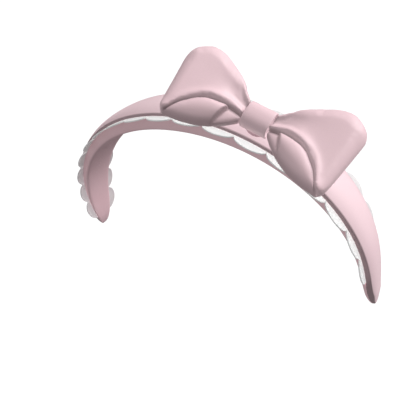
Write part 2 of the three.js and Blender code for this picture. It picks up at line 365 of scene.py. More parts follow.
@dataclass(frozen=True)
class LaceFinish(Finish):
    """White cotton lace: close net ground, and satin stitch packed along the scalloped rim."""

    name: str = "lace cotton"
    colour: tuple[int, int, int] = (254, 253, 251)
    shade: tuple[int, int, int] = (243, 239, 238)
    blush: tuple[int, int, int] = (196, 181, 187)
    mesh_size: float = 0.8 * MM
    stitch: float = 0.42 * MM

    def lay(self, bench: ShaderBench, colour: tuple[float, ...], shade: tuple[float, ...]) -> None:
        """Wires the net, the stitches, the rear strip's pink-grey tint and the painted shade on the left leg.
        """
        cloth = bench.node("UVMap", uv_map="cloth").outputs[0]
        rim = bench.mark("rim")
        net = bench.node(
            "TexVoronoi", {"Vector": cloth, "Scale": 1 / self.mesh_size, "Randomness": 0.25},
            feature="DISTANCE_TO_EDGE",
        ).outputs["Distance"]
        strands = bench.maths("SMOOTH_MIN", bench.maths("MULTIPLY", net, 4.0), 1.0)
        packed = bench.node(
            "TexWave", {"Vector": cloth, "Scale": math.tau / 20 / self.stitch, "Distortion": 0.5},
            wave_type="BANDS", bands_direction="X",
        ).outputs["Fac"]
        open_share = bench.maths("MULTIPLY", strands, bench.maths("SUBTRACT", 1.0, rim))
        tone = bench.blend(bench.maths("MULTIPLY", open_share, 0.35), colour, shade)
        fluff = bench.noise(bench.body(), 1500, 3)
        tone = bench.blend(bench.range(fluff, 0.0, 0.3), tone, shade)
        # A pink-grey tint on the rear strip, and painted shade on the lace of the left leg.
        tint_and_shade_share = bench.maths("MULTIPLY", bench.mark("blush"), 0.65)
        tone = bench.blend(tint_and_shade_share, tone, srgb(*self.blush))
        net_bump = bench.bump(bench.maths("MULTIPLY", open_share, -1.0), 0.5, 0.12 * MM)
        stitched = bench.bump(bench.maths("MULTIPLY", packed, rim), 0.5, 0.12 * MM, net_bump)
        bench.set(
            Base_Color=tone, Roughness=bench.range(fluff, 0.7, 0.95), Normal=stitched, Sheen_Weight=0.15,
            Sheen_Roughness=0.6, Specular_IOR_Level=0.2, Subsurface_Weight=0.7, Subsurface_Scale=1.2 * MM,
            Subsurface_Radius=(1.0, 0.95, 0.95),
        )


@dataclass(frozen=True)
class FibreFinish(Finish):
    """Foam, felt or fibre filling: cells or hairs at one scale, with uneven colour."""

    cell: float
    relief: float
    cells_open: bool

    def lay(self, bench: ShaderBench, colour: tuple[float, ...], shade: tuple[float, ...]) -> None:
        """Wires the cells or hairs."""
        body = bench.body()
        if self.cells_open:
            cells = bench.node("TexVoronoi", {"Vector": body, "Scale": 1 / self.cell}).outputs["Distance"]
        else:
            cells = bench.noise(body, 1 / self.cell, 5)
        tone = bench.blend(cells, shade, colour)
        tone = bench.blend(bench.range(bench.noise(body, 60), 0.0, 0.25), tone, shade)
        bench.set(
            Base_Color=tone, Roughness=bench.range(cells, 0.85, 1.0), Sheen_Weight=0.2,
            Normal=bench.bump(cells, 0.7, self.relief), Specular_IOR_Level=0.15,
        )


@dataclass(frozen=True)
class ThreadFinish(Finish):
    """Twisted polyester thread with a slanting ply."""

    name: str = "binding thread"
    colour: tuple[int, int, int] = (233, 190, 200)
    shade: tuple[int, int, int] = (196, 148, 160)
    slant: tuple[float, float, float] = (0.4, 0.7, 0.6)

    def lay(self, bench: ShaderBench, colour: tuple[float, ...], shade: tuple[float, ...]) -> None:
        """Wires the ply."""
        turned = bench.node("Mapping", {"Vector": bench.body(), "Rotation": self.slant}).outputs[0]
        ply = bench.node(
            "TexWave", {"Vector": turned, "Scale": 900.0, "Distortion": 1.0}, wave_type="BANDS"
        ).outputs["Fac"]
        tone = bench.blend(ply, shade, colour)
        bench.set(
            Base_Color=tone, Roughness=bench.range(ply, 0.45, 0.65), Normal=bench.bump(ply, 0.6, 0.05 * MM),
            Sheen_Weight=0.2,
        )


@dataclass(frozen=True)
class MouldedFinish(Finish):
    """Moulded spring plastic with faint flow marks."""

    name: str = "spring plastic"
    colour: tuple[int, int, int] = (234, 230, 223)
    shade: tuple[int, int, int] = (214, 208, 199)
    draw: tuple[float, float, float] = (30, 220, 30)

    def lay(self, bench: ShaderBench, colour: tuple[float, ...], shade: tuple[float, ...]) -> None:
        """Wires the flow marks."""
        drawn = bench.node("Mapping", {"Vector": bench.body(), "Scale": self.draw}).outputs[0]
        flow = bench.noise(drawn, 1.0, 4)
        bench.set(
            Base_Color=bench.blend(flow, shade, colour), Roughness=bench.range(flow, 0.35, 0.5),
            Normal=bench.bump(flow, 0.2, 0.05 * MM),
        )


# ---- Making pieces --------------------------------------------------------------------------


def grid_into(bm: bmesh.types.BMesh, rows: int, columns: int, place: Callable[[int, int], Vector]) -> list:
    """Adds a grid and moves each of its points to its place.

    Args:
        bm: The mesh to add to.
        rows: Points along the grid.
        columns: Points across it.
        place: Gives the place of the point at a row and a column.

    Returns:
        The grid's points.
    """
    made = bmesh.ops.create_grid(bm, x_segments=rows - 1, y_segments=columns - 1, size=0.5)["verts"]
    for vert in made:
        row = round((vert.co.x + 0.5) * (rows - 1))
        column = round((vert.co.y + 0.5) * (columns - 1))
        vert.co = place(row, column)
    return made


def eased(n: int, count: int) -> float:
    """The place from -1 to 1 of a point in a row of points that crowd together at both ends."""
    return math.sin(math.pi * (n / (count - 1) - 0.5))


def points_in(made: Iterable[object]) -> list[bmesh.types.BMVert]:
    """The points among what an operator has made."""
    return [item for item in made if isinstance(item, bmesh.types.BMVert)]


def free_edges_in(made: Iterable[object]) -> list[bmesh.types.BMEdge]:
    """The open edges among what an operator has made."""
    return [item for item in made if isinstance(item, bmesh.types.BMEdge) and item.is_boundary]


def soften(bm: bmesh.types.BMesh, edges: list[bmesh.types.BMEdge], width: float, segments: int) -> None:
    """Rounds some edges off by a width."""
    bmesh.ops.bevel(
        bm, geom=edges, affect="EDGES", offset=width, segments=segments, profile=0.5, material=-1,
        clamp_overlap=True,
    )


def close_up(bm: bmesh.types.BMesh) -> None:
    """Closes what is left open with triangles and turns the faces outwards."""
    open_edges = free_edges_in(bm.edges)
    if open_edges:
        bmesh.ops.holes_fill(bm, edges=open_edges, sides=0)
    bmesh.ops.triangulate(bm, faces=[face for face in bm.faces if len(face.verts) > 4])
    bmesh.ops.recalc_face_normals(bm, faces=bm.faces)


def two_faced(
    bm: bmesh.types.BMesh,
    rows: int,
    columns: int,
    upper: Callable[[int, int], Vector],
    lower: Callable[[int, int], Vector],
) -> None:
    """Adds two cloth faces that are sewn together where their edges meet, and closes what is left open.

    Args:
        bm: The mesh to add to.
        rows: Points along each face.
        columns: Points across each face.
        upper: Place of a point of the upper face, by row and column.
        lower: Place of a point of the lower face, by row and column.
    """
    for place, turned in ((upper, False), (lower, True)):
        verts = grid_into(bm, rows, columns, place)
        faces = list({face for vert in verts for face in vert.link_faces})
        if turned:
            bmesh.ops.reverse_faces(bm, faces=faces)
    bmesh.ops.remove_doubles(bm, verts=bm.verts, dist=WELD)
    close_up(bm)


def new_piece(
    name: str, bm: bmesh.types.BMesh, material: bpy.types.Material, sharp_from: float = 50.0
) -> bpy.types.Object:
    """Turns a finished bmesh into an object in the scene.

    Args:
        name: The piece's name.
        bm: Its mesh, which is freed.
        material: Its material.
        sharp_from: Edges that turn by more degrees than this stay sharp.

    Returns:
        The new object, at the origin.
    """
    mesh = bpy.data.meshes.new(name)
    bm.to_mesh(mesh)
    bm.free()
    mesh.materials.append(material)
    mesh.shade_smooth()
    mesh.set_sharp_from_angle(angle=math.radians(sharp_from))
    made = bpy.data.objects.new(name, mesh)
    bpy.context.scene.collection.objects.link(made)
    return made


def paint(mesh: bpy.types.Mesh, name: str, values: Iterable[float]) -> None:
    """Stores a value for each point of a mesh under a name that materials read."""
    layer = mesh.attributes.new(name, "FLOAT", "POINT")
    layer.data.foreach_set("value", list(values))


def seat_on_crown(made: bpy.types.Object, slot: str, *nodes: str) -> bpy.types.Object:
    """Lets a finished piece ride on the crown and stand for its CAD nodes, and returns it."""
    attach(made, "crown")
    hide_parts(*nodes)
    return made


# ---- The hoop -------------------------------------------------------------------------------


@dataclass
class Hoop:
    """The line that the band follows, measured on the lace, and the band's width and layers on it."""

    half_width: float = 70 * MM
    rise: float = 58.5 * MM
    leg_sweep: float = math.radians(105)
    tip_flare: float = 6 * MM
    tip_flare_power: float = 14
    band_width: float = 21 * MM
    taper_power: float = 1.76
    taper_roundness: float = 0.37
    slimming: float = 0.13
    nose_length: float = 15 * MM
    thinning_from: float = 0.4
    thinning_power: float = 1.3
    nose_rows: int = 12
    nose_run: float = 9 * MM
    join_strip: float = 0.05 * MM
    leg_length: float = 54 * MM
    steps: int = 1200
    lengths: list[float] = field(init=False)

    def __post_init__(self) -> None:
        """Measures the hoop once."""
        points = [self.point(2 * n / self.steps - 1) for n in range(self.steps + 1)]
        self.lengths = [0.0]
        for a, b in zip(points, points[1:]):
            self.lengths.append(self.lengths[-1] + (b - a).length)

    @property
    def half_length(self) -> float:
        """Distance from the middle of the hoop to a tip."""
        return self.lengths[-1] / 2

    @property
    def flex_distance(self) -> float:
        """Distance from the middle of the hoop to where a leg flexes."""
        return self.half_length - self.leg_length

    def point(self, share: float) -> Vector:
        """The point at a share from -1, the left tip, to 1, the right tip."""
        angle = share * self.leg_sweep
        flare = math.copysign(self.tip_flare * abs(share) ** self.tip_flare_power, share)
        return Vector((self.half_width * math.sin(angle) + flare, 0, self.rise * math.cos(angle)))

    def tangent(self, share: float) -> Vector:
        """The unit direction of the hoop at a share, towards the right tip."""
        angle = share * self.leg_sweep
        flare = self.tip_flare * self.tip_flare_power * abs(share) ** (self.tip_flare_power - 1)
        sideways = self.half_width * self.leg_sweep * math.cos(angle) + flare
        return Vector((sideways, 0, -self.rise * self.leg_sweep * math.sin(angle))).normalized()

    def outward(self, share: float) -> Vector:
        """The unit direction out of the hoop at a share."""
        tangent = self.tangent(share)
        return Vector((-tangent.z, 0, tangent.x))

    def share_at(self, distance: float) -> float:
        """The share at a distance from the middle, positive to the right."""
        wanted = min(max(distance + self.half_length, 0.0), self.lengths[-1])
        n = min(bisect.bisect_right(self.lengths, wanted), self.steps) - 1
        part = (wanted - self.lengths[n]) / (self.lengths[n + 1] - self.lengths[n])
        return 2 * (n + part) / self.steps - 1

    def distance_at(self, share: float) -> float:
        """The distance from the middle at a share."""
        place = (share + 1) / 2 * self.steps
        n = min(int(place), self.steps - 1)
        return lerp(self.lengths[n], self.lengths[n + 1], place - n) - self.half_length

    def blunt_taper(self, distance: float) -> float:
        """The band's width at a distance, as a share of its width at the crown, with a round nose."""
        share = min(1.0, abs(self.share_at(distance)))
        return (1 - share**self.taper_power) ** self.taper_roundness

    def taper(self, distance: float) -> float:
        """The band's width at a distance, as a share of its width at the crown, slimmed at the nose."""
        left = self.half_length - abs(distance)
        return self.blunt_taper(distance) * lerp(1 - self.slimming, 1, smooth_step(0, self.nose_length, left))

    def half_band(self, distance: float) -> float:
        """Half the band's width at a distance."""
        return self.band_width / 2 * self.taper(distance)

    def thinning(self, distance: float) -> float:
        """How far the layers thin together where the band closes at a tip."""
        return min(1.0, self.taper(distance) / self.thinning_from) ** self.thinning_power

    def wrap(self, bm: bmesh.types.BMesh) -> None:
        """Carries a flat pattern of distance, place across and height on to the hoop."""
        for vert in bm.verts:
            share = self.share_at(vert.co.x)
            across = Vector((0, vert.co.y, 0))
            vert.co = self.point(share) + across + self.outward(share) * vert.co.z

    def stations(self, start: float, side: Side, step: float) -> list[float]:
        """Distances of the rows from a join out to a tip, closer together round the nose.

        Args:
            start: Where the first row lies.
            side: Which tip the rows run to.
            step: Length between rows.

        Returns:
            The distances in order from the join.
        """
        nose = self.half_length - self.nose_run
        run = abs(side.value * nose - start)
        count = math.ceil(run / step)
        rows = [start, start + side.value * self.join_strip]
        rows += [start + side.value * run * n / count for n in range(1, count + 1)]
        nose_taper = self.blunt_taper(nose)
        for n in range(1, self.nose_rows + 1):
            width = nose_taper * (1 - n / self.nose_rows)
            share = (1 - width ** (1 / self.taper_roundness)) ** (1 / self.taper_power)
            rows.append(side.value * self.distance_at(share))
        return rows

    def hinge_line(self, side: Side, reach: float) -> tuple[Vector, Vector]:
        """Two points either side of a leg's flexing place, from the crown's side to the leg's."""
        share = self.share_at(side.value * self.flex_distance)
        along = self.tangent(share) * side.value * reach
        return self.point(share) - along, self.point(share) + along


# ---- The band -------------------------------------------------------------------------------


@dataclass
class BandHalf:
    """What every sewn half of the band shares: its side, its join at the bow and the reach of the hinge line
    at its leg's flexing place.
    """

    hoop: Hoop
    side: Side
    join: float = 32.3 * MM
    bend_reach: float = 11 * MM
    row_step: float = 1.6 * MM
    lace_half: float = 0.25 * MM
    seat: float = 0.02 * MM
    lace_end_left: float = 109.4 * MM
    lace_end_right: float = 101.4 * MM
    lace_fade: float = 2.5 * MM

    def clearance(self, distance: float) -> float:
        """Height over the lace's mid line at which the layers meet it, and each other past its end."""
        end = self.lace_end_left if self.side is Side.LEFT else self.lace_end_right
        past = smooth_step(end, end + self.lace_fade, abs(distance))
        return lerp(self.lace_half + self.seat, self.seat, past)

    def nodes(self, layer: str) -> list[str]:
        """The CAD nodes of a layer that lie in this half."""
        return [f"{self.side.word}_{layer}", f"crown_{layer}"]

    def mount(self, made: bpy.types.Object, slot: str, *layers: str) -> bpy.types.Object:
        """Bakes a finished piece's place into its mesh and lets it stand for its CAD nodes.

        Args:
            made: The piece.
            slot: A material slot's name; not used.
            *layers: The layers of CAD nodes that it stands for.

        Returns:
            The same piece.
        """
        start, end = self.hoop.hinge_line(self.side, self.bend_reach)
        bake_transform(made)
        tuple(start)
        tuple(end)
        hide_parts(*[node for layer in layers for node in self.nodes(layer)])
        return made


def lay_cloth_uv(bm: bmesh.types.BMesh) -> None:
    """Gives a flat pattern its UV map, in metres along and across, before it is wrapped."""
    layer = bm.loops.layers.uv.new("cloth")
    for face in bm.faces:
        for loop in face.loops:
            flat = loop.vert.co
            loop[layer].uv = (flat.x, flat.y - math.copysign(flat.z, flat.y))


@dataclass
class SatinCover(BandHalf):
    """Half of the satin cover: a crowned top, side walls and a hem turned under on the lace."""

    wall: float = 0.45 * MM
    edge_crown: float = 1.1 * MM
    edge_tip: float = 2.45 * MM
    pad_rise: float = 2.3 * MM
    crown_power: float = 2.7
    columns: int = 19
    edge_round: float = 0.3 * MM
    hem: float = 1.5 * MM
    seam_inner: float = 0.35 * MM
    seam_outer: float = 0.1 * MM
    spare_height: float = 0.01 * MM

    def edge_height(self, distance: float) -> float:
        """Height of the side wall over the lace's mid line."""
        share = abs(self.hoop.share_at(distance))
        return lerp(self.edge_crown, self.edge_tip, share**2) * self.hoop.thinning(distance)

    def top(self, distance: float, across: float) -> float:
        """Height of the outer face, where across runs from -1 to 1."""
        rise = self.pad_rise * self.hoop.taper(distance) * (1 - abs(across) ** self.crown_power)
        return self.edge_height(distance) + rise

    def build(self, material: bpy.types.Material) -> bpy.types.Object:
        """Cuts, sews and mounts the cover.

        Args:
            material: The satin.

        Returns:
            The cover half.
        """
        rows = self.hoop.stations(self.join, self.side, self.row_step)
        bm = bmesh.new()

        def place(row: int, column: int) -> Vector:
            """The flat place of a point of the padded top."""
            distance, across = rows[row], eased(column, self.columns)
            return Vector((distance, across * self.hoop.half_band(distance), self.top(distance, across)))

        seam = bm.verts.layers.float.new("seam")
        grid_into(bm, len(rows), self.columns, place)
        if self.side is Side.LEFT:
            bmesh.ops.reverse_faces(bm, faces=bm.faces)
        bmesh.ops.remove_doubles(bm, verts=bm.verts, dist=WELD)
        rim = self.off_join(bm.edges)
        foot = self.extrude_down(bm, rim, lambda co: Vector((co.x, co.y, min(co.z, self.clearance(co.x)))))
        self.extrude_down(bm, foot, self.turned_under)
        bmesh.ops.remove_doubles(bm, verts=bm.verts, dist=WELD)
        soften(bm, [edge for edge in rim if edge.is_valid], self.edge_round, 2)
        bmesh.ops.recalc_face_normals(bm, faces=bm.faces)
        if sum(face.normal.z * face.calc_area() for face in bm.faces) < 0:
            bmesh.ops.reverse_faces(bm, faces=bm.faces)
        lay_cloth_uv(bm)
        # Painted shade on the side walls, rising to full at the band's edge.
        for vert in bm.verts:
            half = self.hoop.half_band(vert.co.x)
            vert[seam] = smooth_step(half - self.seam_inner, half - self.seam_outer, abs(vert.co.y))
        bmesh.ops.solidify(bm, geom=bm.faces, thickness=self.wall)
        self.keep_under_top(bm)
        self.hoop.wrap(bm)
        made = new_piece(f"cover_{self.side.word}", bm, material, 40)
        return self.mount(made, "cover_satin", "cover")

    def keep_under_top(self, bm: bmesh.types.BMesh) -> None:
        """Thins the cloth at the tip, where the outer face is less high than the cloth is thick."""
        for vert in bm.verts:
            half = self.hoop.half_band(vert.co.x)
            roof = self.top(vert.co.x, min(1.0, abs(vert.co.y) / max(half, WELD)))
            if vert.co.z > roof + self.spare_height:
                vert.co.z = (roof + min(roof, self.clearance(vert.co.x))) / 2

    def off_join(self, made: Iterable[object]) -> list[bmesh.types.BMEdge]:
        """The free edges among some geometry that don't lie on the butt join under the bow."""
        return [
            edge for edge in free_edges_in(made)
            if any(abs(vert.co.x - self.join) >= NEAR for vert in edge.verts)
        ]

    def extrude_down(
        self, bm: bmesh.types.BMesh, edges: list, move: Callable[[Vector], Vector]
    ) -> list[bmesh.types.BMEdge]:
        """Draws a strip of cloth out of some edges.

        Args:
            bm: The mesh.
            edges: The edges to draw from.
            move: Gives a drawn point's new place from its old one.

        Returns:
            The strip's free edges.
        """
        made = bmesh.ops.extrude_edge_only(bm, edges=edges)["geom"]
        for vert in points_in(made):
            vert.co = move(vert.co.copy())
        return self.off_join(made)

    def turned_under(self, flat: Vector) -> Vector:
        """The hem's inner line, drawn in from the foot of the side wall."""
        half = self.hoop.half_band(flat.x)
        share = max(0.0, 1 - self.hem / half) if half > 0 else 0.0
        return Vector((flat.x, flat.y * share, flat.z))


@dataclass
class TricotLining(BandHalf):
    """Half of the padded lining, thick at the crown and thin at the tip, with soft corners."""

    crown_depth: float = 6 * MM
    tip_depth: float = 1.0 * MM
    thinning_power: float = 4.2
    width_share: float = 0.99
    squareness: float = 9.0
    handling: float = 0.7
    corner_crowding: float = 0.6
    clean_edge: tuple[float, float] = (0.1 * MM, 0.6 * MM)
    columns: int = 41

    def depth(self, distance: float) -> float:
        """Depth of the inner face under the lace's mid line."""
        full = lerp(self.tip_depth, self.crown_depth, self.hoop.taper(distance) ** self.thinning_power)
        return full * self.hoop.thinning(distance)

    def build(self, material: bpy.types.Material) -> bpy.types.Object:
        """Sews and mounts the lining.

        Args:
            material: The tricot.

        Returns:
            The lining half.
        """
        rows = self.hoop.stations(self.join, self.side, self.row_step)

        def corner(column: int) -> tuple[float, float]:
            """Shares across and down of a point on the soft-cornered section."""
            walk = lerp(-2, 2, column / (self.columns - 1))
            walk += self.corner_crowding * math.sin(math.pi * walk) / math.pi
            across, down = max(-1.0, min(1.0, walk)), max(0.0, min(1.0, 2 - abs(walk)))
            reach = (abs(across) ** self.squareness + down**self.squareness) ** (1 / self.squareness)
            return across / reach, (down / reach if column % (self.columns - 1) else 0.0)

        def top(row: int, column: int) -> Vector:
            """The flat place of a point of the face under the lace."""
            distance = rows[row]
            half = self.hoop.half_band(distance) * self.width_share
            return Vector((distance, corner(column)[0] * half, -self.clearance(distance)))

        def inner(row: int, column: int) -> Vector:
            """The flat place of a point of the inner face."""
            flat = top(row, column)
            flat.z = lerp(-self.clearance(rows[row]), -self.depth(rows[row]), corner(column)[1])
            return flat

        bm = bmesh.new()
        two_faced(bm, len(rows), self.columns, inner, top)
        # Painted shade on the lining, except on its front and rear walls.
        inner_shading = []
        for vert in bm.verts:
            edge = self.hoop.half_band(vert.co.x) * self.width_share - abs(vert.co.y)
            inner_shading.append(smooth_step(*self.clean_edge, edge) * self.handling)
        lay_cloth_uv(bm)
        self.hoop.wrap(bm)
        bmesh.ops.recalc_face_normals(bm, faces=bm.faces)
        made = new_piece(f"lining_{self.side.word}", bm, material, 60)
        paint(made.data, "seam", inner_shading)
        return self.mount(made, "lining_cloth", "lining")


@dataclass
class FoamPad(BandHalf):
    """Half of the foam under the cover, lying on the spring core."""

    foot: float = 1.05 * MM
    slack: float = 0.12 * MM
    tip_margin: float = 8 * MM
    longest_row: float = 2 * MM
    columns: int = 13

    def build(self, cover: SatinCover, material: bpy.types.Material) -> bpy.types.Object:
        """Cuts and mounts the foam.

        Args:
            cover: The cover half that it fills.
            material: The foam.

        Returns:
            The foam half.
        """
        end = self.side.value * (self.hoop.half_length - self.tip_margin)
        count = math.ceil(abs(end - self.join) / self.longest_row)
        rows = [lerp(self.join, end, n / count) for n in range(count + 1)]

        def half(distance: float) -> float:
            """Half width of the foam, where the space under the cover is as high as its foot."""
            rise = cover.pad_rise * self.hoop.taper(distance)
            over = cover.edge_height(distance) + rise - cover.wall - self.slack - self.foot
            share = min(0.95, max(0.05, over / rise)) ** (1 / cover.crown_power)
            return (self.hoop.half_band(distance) - cover.wall) * share

        def upper(row: int, column: int) -> Vector:
            """The flat place of a point of the crowned face."""
            across = eased(column, self.columns)
            distance, width = rows[row], half(rows[row])
            share = across * width / self.hoop.half_band(distance)
            under = cover.top(distance, share) - cover.wall - self.slack
            rim = cover.top(distance, width / self.hoop.half_band(distance)) - cover.wall - self.slack
            return Vector((distance, across * width, max(self.foot, under - rim + self.foot)))

        def lower(row: int, column: int) -> Vector:
            """The flat place of a point of the face on the core."""
            return Vector((*upper(row, column).xy, self.foot))

        bm = bmesh.new()
        two_faced(bm, len(rows), self.columns, upper, lower)
        self.hoop.wrap(bm)
        bmesh.ops.recalc_face_normals(bm, faces=bm.faces)
        made = new_piece(f"foam_{self.side.word}", bm, material, 60)
        return self.mount(made, "pad_foam", "foam_pad")


@dataclass
class LaceEdging(BandHalf):
    """Half of the scalloped lace, one strip on the front edge and one on the rear."""

    pitch: float = 12.4 * MM
    count: int = 17
    shift: float = -4 * MM
    join_scallop: int = 11
    tuck: float = 3 * MM
    reveal: float = 0.15 * MM
    front_depth: float = 3.5 * MM
    rear_depth: float = 4.7 * MM
    thickness: float = 0.5 * MM
    steps: int = 18
    cord: float = 0.55 * MM
    net_share: float = 0.8
    least_inner: float = 0.4 * MM
    rear_blush: float = 0.45
    tip_blush: tuple[float, float] = (50 * MM, 66 * MM)
    columns: tuple[float, ...] = (0, 0.25, 0.45, 0.6, 0.72, 0.82, 0.9, 0.96, 1)

    @property
    def start(self) -> float:
        """Where the first scallop begins."""
        return self.shift - self.pitch * self.count / 2

    def reach(self, distance: float, edge: Edge) -> float:
        """How far a scallop stands out from the band's edge."""
        depth = self.front_depth if edge is Edge.FRONT else self.rear_depth
        phase = (distance - self.start) / self.pitch
        along = 2 * (phase - math.floor(phase + 1e-9)) - 1
        return self.reveal + depth * math.sqrt(max(0.0, 1 - along**2))

    def rows(self) -> list[float]:
        """Distances of the rows, close together at the cusps."""
        first, last = (0, self.join_scallop) if self.side is Side.LEFT else (self.join_scallop, self.count)
        found = []
        for scallop in range(first, last):
            for n in range(self.steps):
                share = (1 - math.cos(math.pi * n / self.steps)) / 2
                found.append(self.start + self.pitch * (scallop + share))
        return [*found, self.start + self.pitch * last]

    def build(self, material: bpy.types.Material) -> bpy.types.Object:
        """Sews and mounts both strips.

        Args:
            material: The lace.

        Returns:
            The lace half, both strips in one piece.
        """
        rows = self.rows()
        bm = bmesh.new()
        rim_layer = bm.verts.layers.float.new("rim")
        for edge in Edge:
            self.strip(bm, rows, edge, rim_layer)
        bmesh.ops.recalc_face_normals(bm, faces=bm.faces)
        lay_cloth_uv(bm)
        self.hoop.wrap(bm)
        made = new_piece(f"lace_{self.side.word}", bm, material, 55)
        paint(made.data, "blush", [self.blush(vert.co) for vert in made.data.vertices])
        return self.mount(made, "lace", "lace_front", "lace_rear")

    def blush(self, place: Vector) -> float:
        """How far the lace at a place is tinted: a pink-grey tint on the rear strip, and painted shade
        towards the left tip.
        """
        rear = self.rear_blush * smooth_step(0, 1 * MM, place.y)
        return max(rear, smooth_step(*self.tip_blush, -place.x))

    def strip(self, bm: bmesh.types.BMesh, rows: Sequence[float], edge: Edge, rim_layer: object) -> None:
        """Adds one strip, a net ground with a raised cord of stitches along its scallops.

        Args:
            bm: The mesh to add to.
            rows: Distances of the rows.
            edge: The edge that the strip is sewn to.
            rim_layer: Where the share of satin stitch is kept.
        """

        def place(row: int, column: int) -> Vector:
            """The flat place of a point on the strip's underside."""
            distance = rows[row]
            inner = self.hoop.half_band(distance) - self.tuck
            outer = self.hoop.half_band(distance) + self.reach(distance, edge)
            across = lerp(max(inner, self.least_inner), outer, self.columns[column])
            return Vector((distance, edge.value * across, -self.thickness / 2))

        verts = grid_into(bm, len(rows), len(self.columns), place)
        faces = list({face for vert in verts for face in vert.link_faces})
        for vert in verts:
            outer = self.hoop.half_band(vert.co.x) + self.reach(vert.co.x, edge)
            vert[rim_layer] = 1 - smooth_step(self.cord, 2 * self.cord, outer - abs(vert.co.y))
        grown = bmesh.ops.extrude_face_region(bm, geom=faces)["geom"]
        top = points_in(grown)
        bmesh.ops.translate(bm, verts=top, vec=(0, 0, self.thickness))
        for vert in {*verts, *top}:
            vert.co.z *= lerp(self.net_share, 1.0, vert[rim_layer])


@dataclass
class SpringCore:
    """The plastic hoop inside, whose CAD nodes stay as they are."""

    parts: tuple[str, ...] = ("left_spring_core", "crown_spring_core", "right_spring_core")

    def dress(self, material: bpy.types.Material) -> None:
        """Gives each part its plastic."""
        for name in self.parts:
            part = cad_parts[name]
            part.data.materials.clear()
            part.data.materials.append(material)


# ---- The bow --------------------------------------------------------------------------------


@lru_cache(maxsize=None)
def along_line(points: Sequence[tuple[float, float]], share: float) -> float:
    """Height of a smooth line through some points, at a share of the way along.

    Args:
        points: Pairs of share and height, in order.
        share: Where the height is wanted.

    Returns:
        The height there.
    """

    def at(place: float) -> tuple[float, float]:
        """The point of the line at a place counted in its points."""
        n = min(int(place), len(points) - 2)
        part = place - n
        near = [points[min(max(n + k, 0), len(points) - 1)] for k in (-1, 0, 1, 2)]
        found = []
        for axis in (0, 1):
            p0, p1, p2, p3 = (p[axis] for p in near)
            v0, v1 = (p2 - p0) / 2, (p3 - p1) / 2
            cube, square = 2 * p1 - 2 * p2 + v0 + v1, -3 * p1 + 3 * p2 - 2 * v0 - v1
            found.append(((cube * part + square) * part + v0) * part + p1)
        return found[0], found[1]

    low, high = 0.0, float(len(points) - 1)
    for _ in range(40):
        middle = (low + high) / 2
        if at(middle)[0] < share:
            low = middle
        else:
            high = middle
    return at(low)[1]


@dataclass
class BowSeat:
    """Where the bow sits: X along its loops, Y up its knot and Z out of its face."""

    hoop: Hoop
    cover: SatinCover
    shift: float = 32.3 * MM
    forward: float = 5.2 * MM
    lean: float = math.radians(59)
    sweep: float = math.radians(5.8)
    felt_thickness: float = 0.8 * MM
    gap: float = 0.3 * MM
    knot_half_depth: float = 3.4 * MM

    def hoop_frame(self) -> Matrix:
        """Across the band, out of the hoop and along it, at the bow."""
        share = self.hoop.share_at(self.shift)
        across, outward, tangent = Vector((0, 1, 0)), self.hoop.outward(share), self.hoop.tangent(share)
        turn = Matrix((across, outward, tangent)).transposed().to_4x4()
        return Matrix.Translation(self.hoop.point(share)) @ turn

    def cover_top(self) -> float:
        """Height of the cover under the bow."""
        return self.cover.top(self.shift, self.forward / self.hoop.half_band(self.shift))

    def frame(self) -> Matrix:
        """The bow's own frame, at the middle of its knot."""
        sine, cosine = math.sin(self.lean), math.cos(self.lean)
        height = self.cover_top() + self.felt_thickness + 2 * self.gap
        lean = Matrix(
            ((0, sine, -cosine, -self.forward), (0, cosine, sine, height), (1, 0, 0, 0), (0, 0, 0, 1))
        )
        return self.hoop_frame() @ lean @ Matrix.Translation((0, 0, self.knot_half_depth))

    def side_frame(self, side: Side) -> Matrix:
        """The frame of one swept loop, mirrored for the left one."""
        mirror = Matrix.Diagonal((side.value, 1, 1, 1))
        return self.frame() @ mirror @ Matrix.Rotation(-self.sweep, 4, "Y")


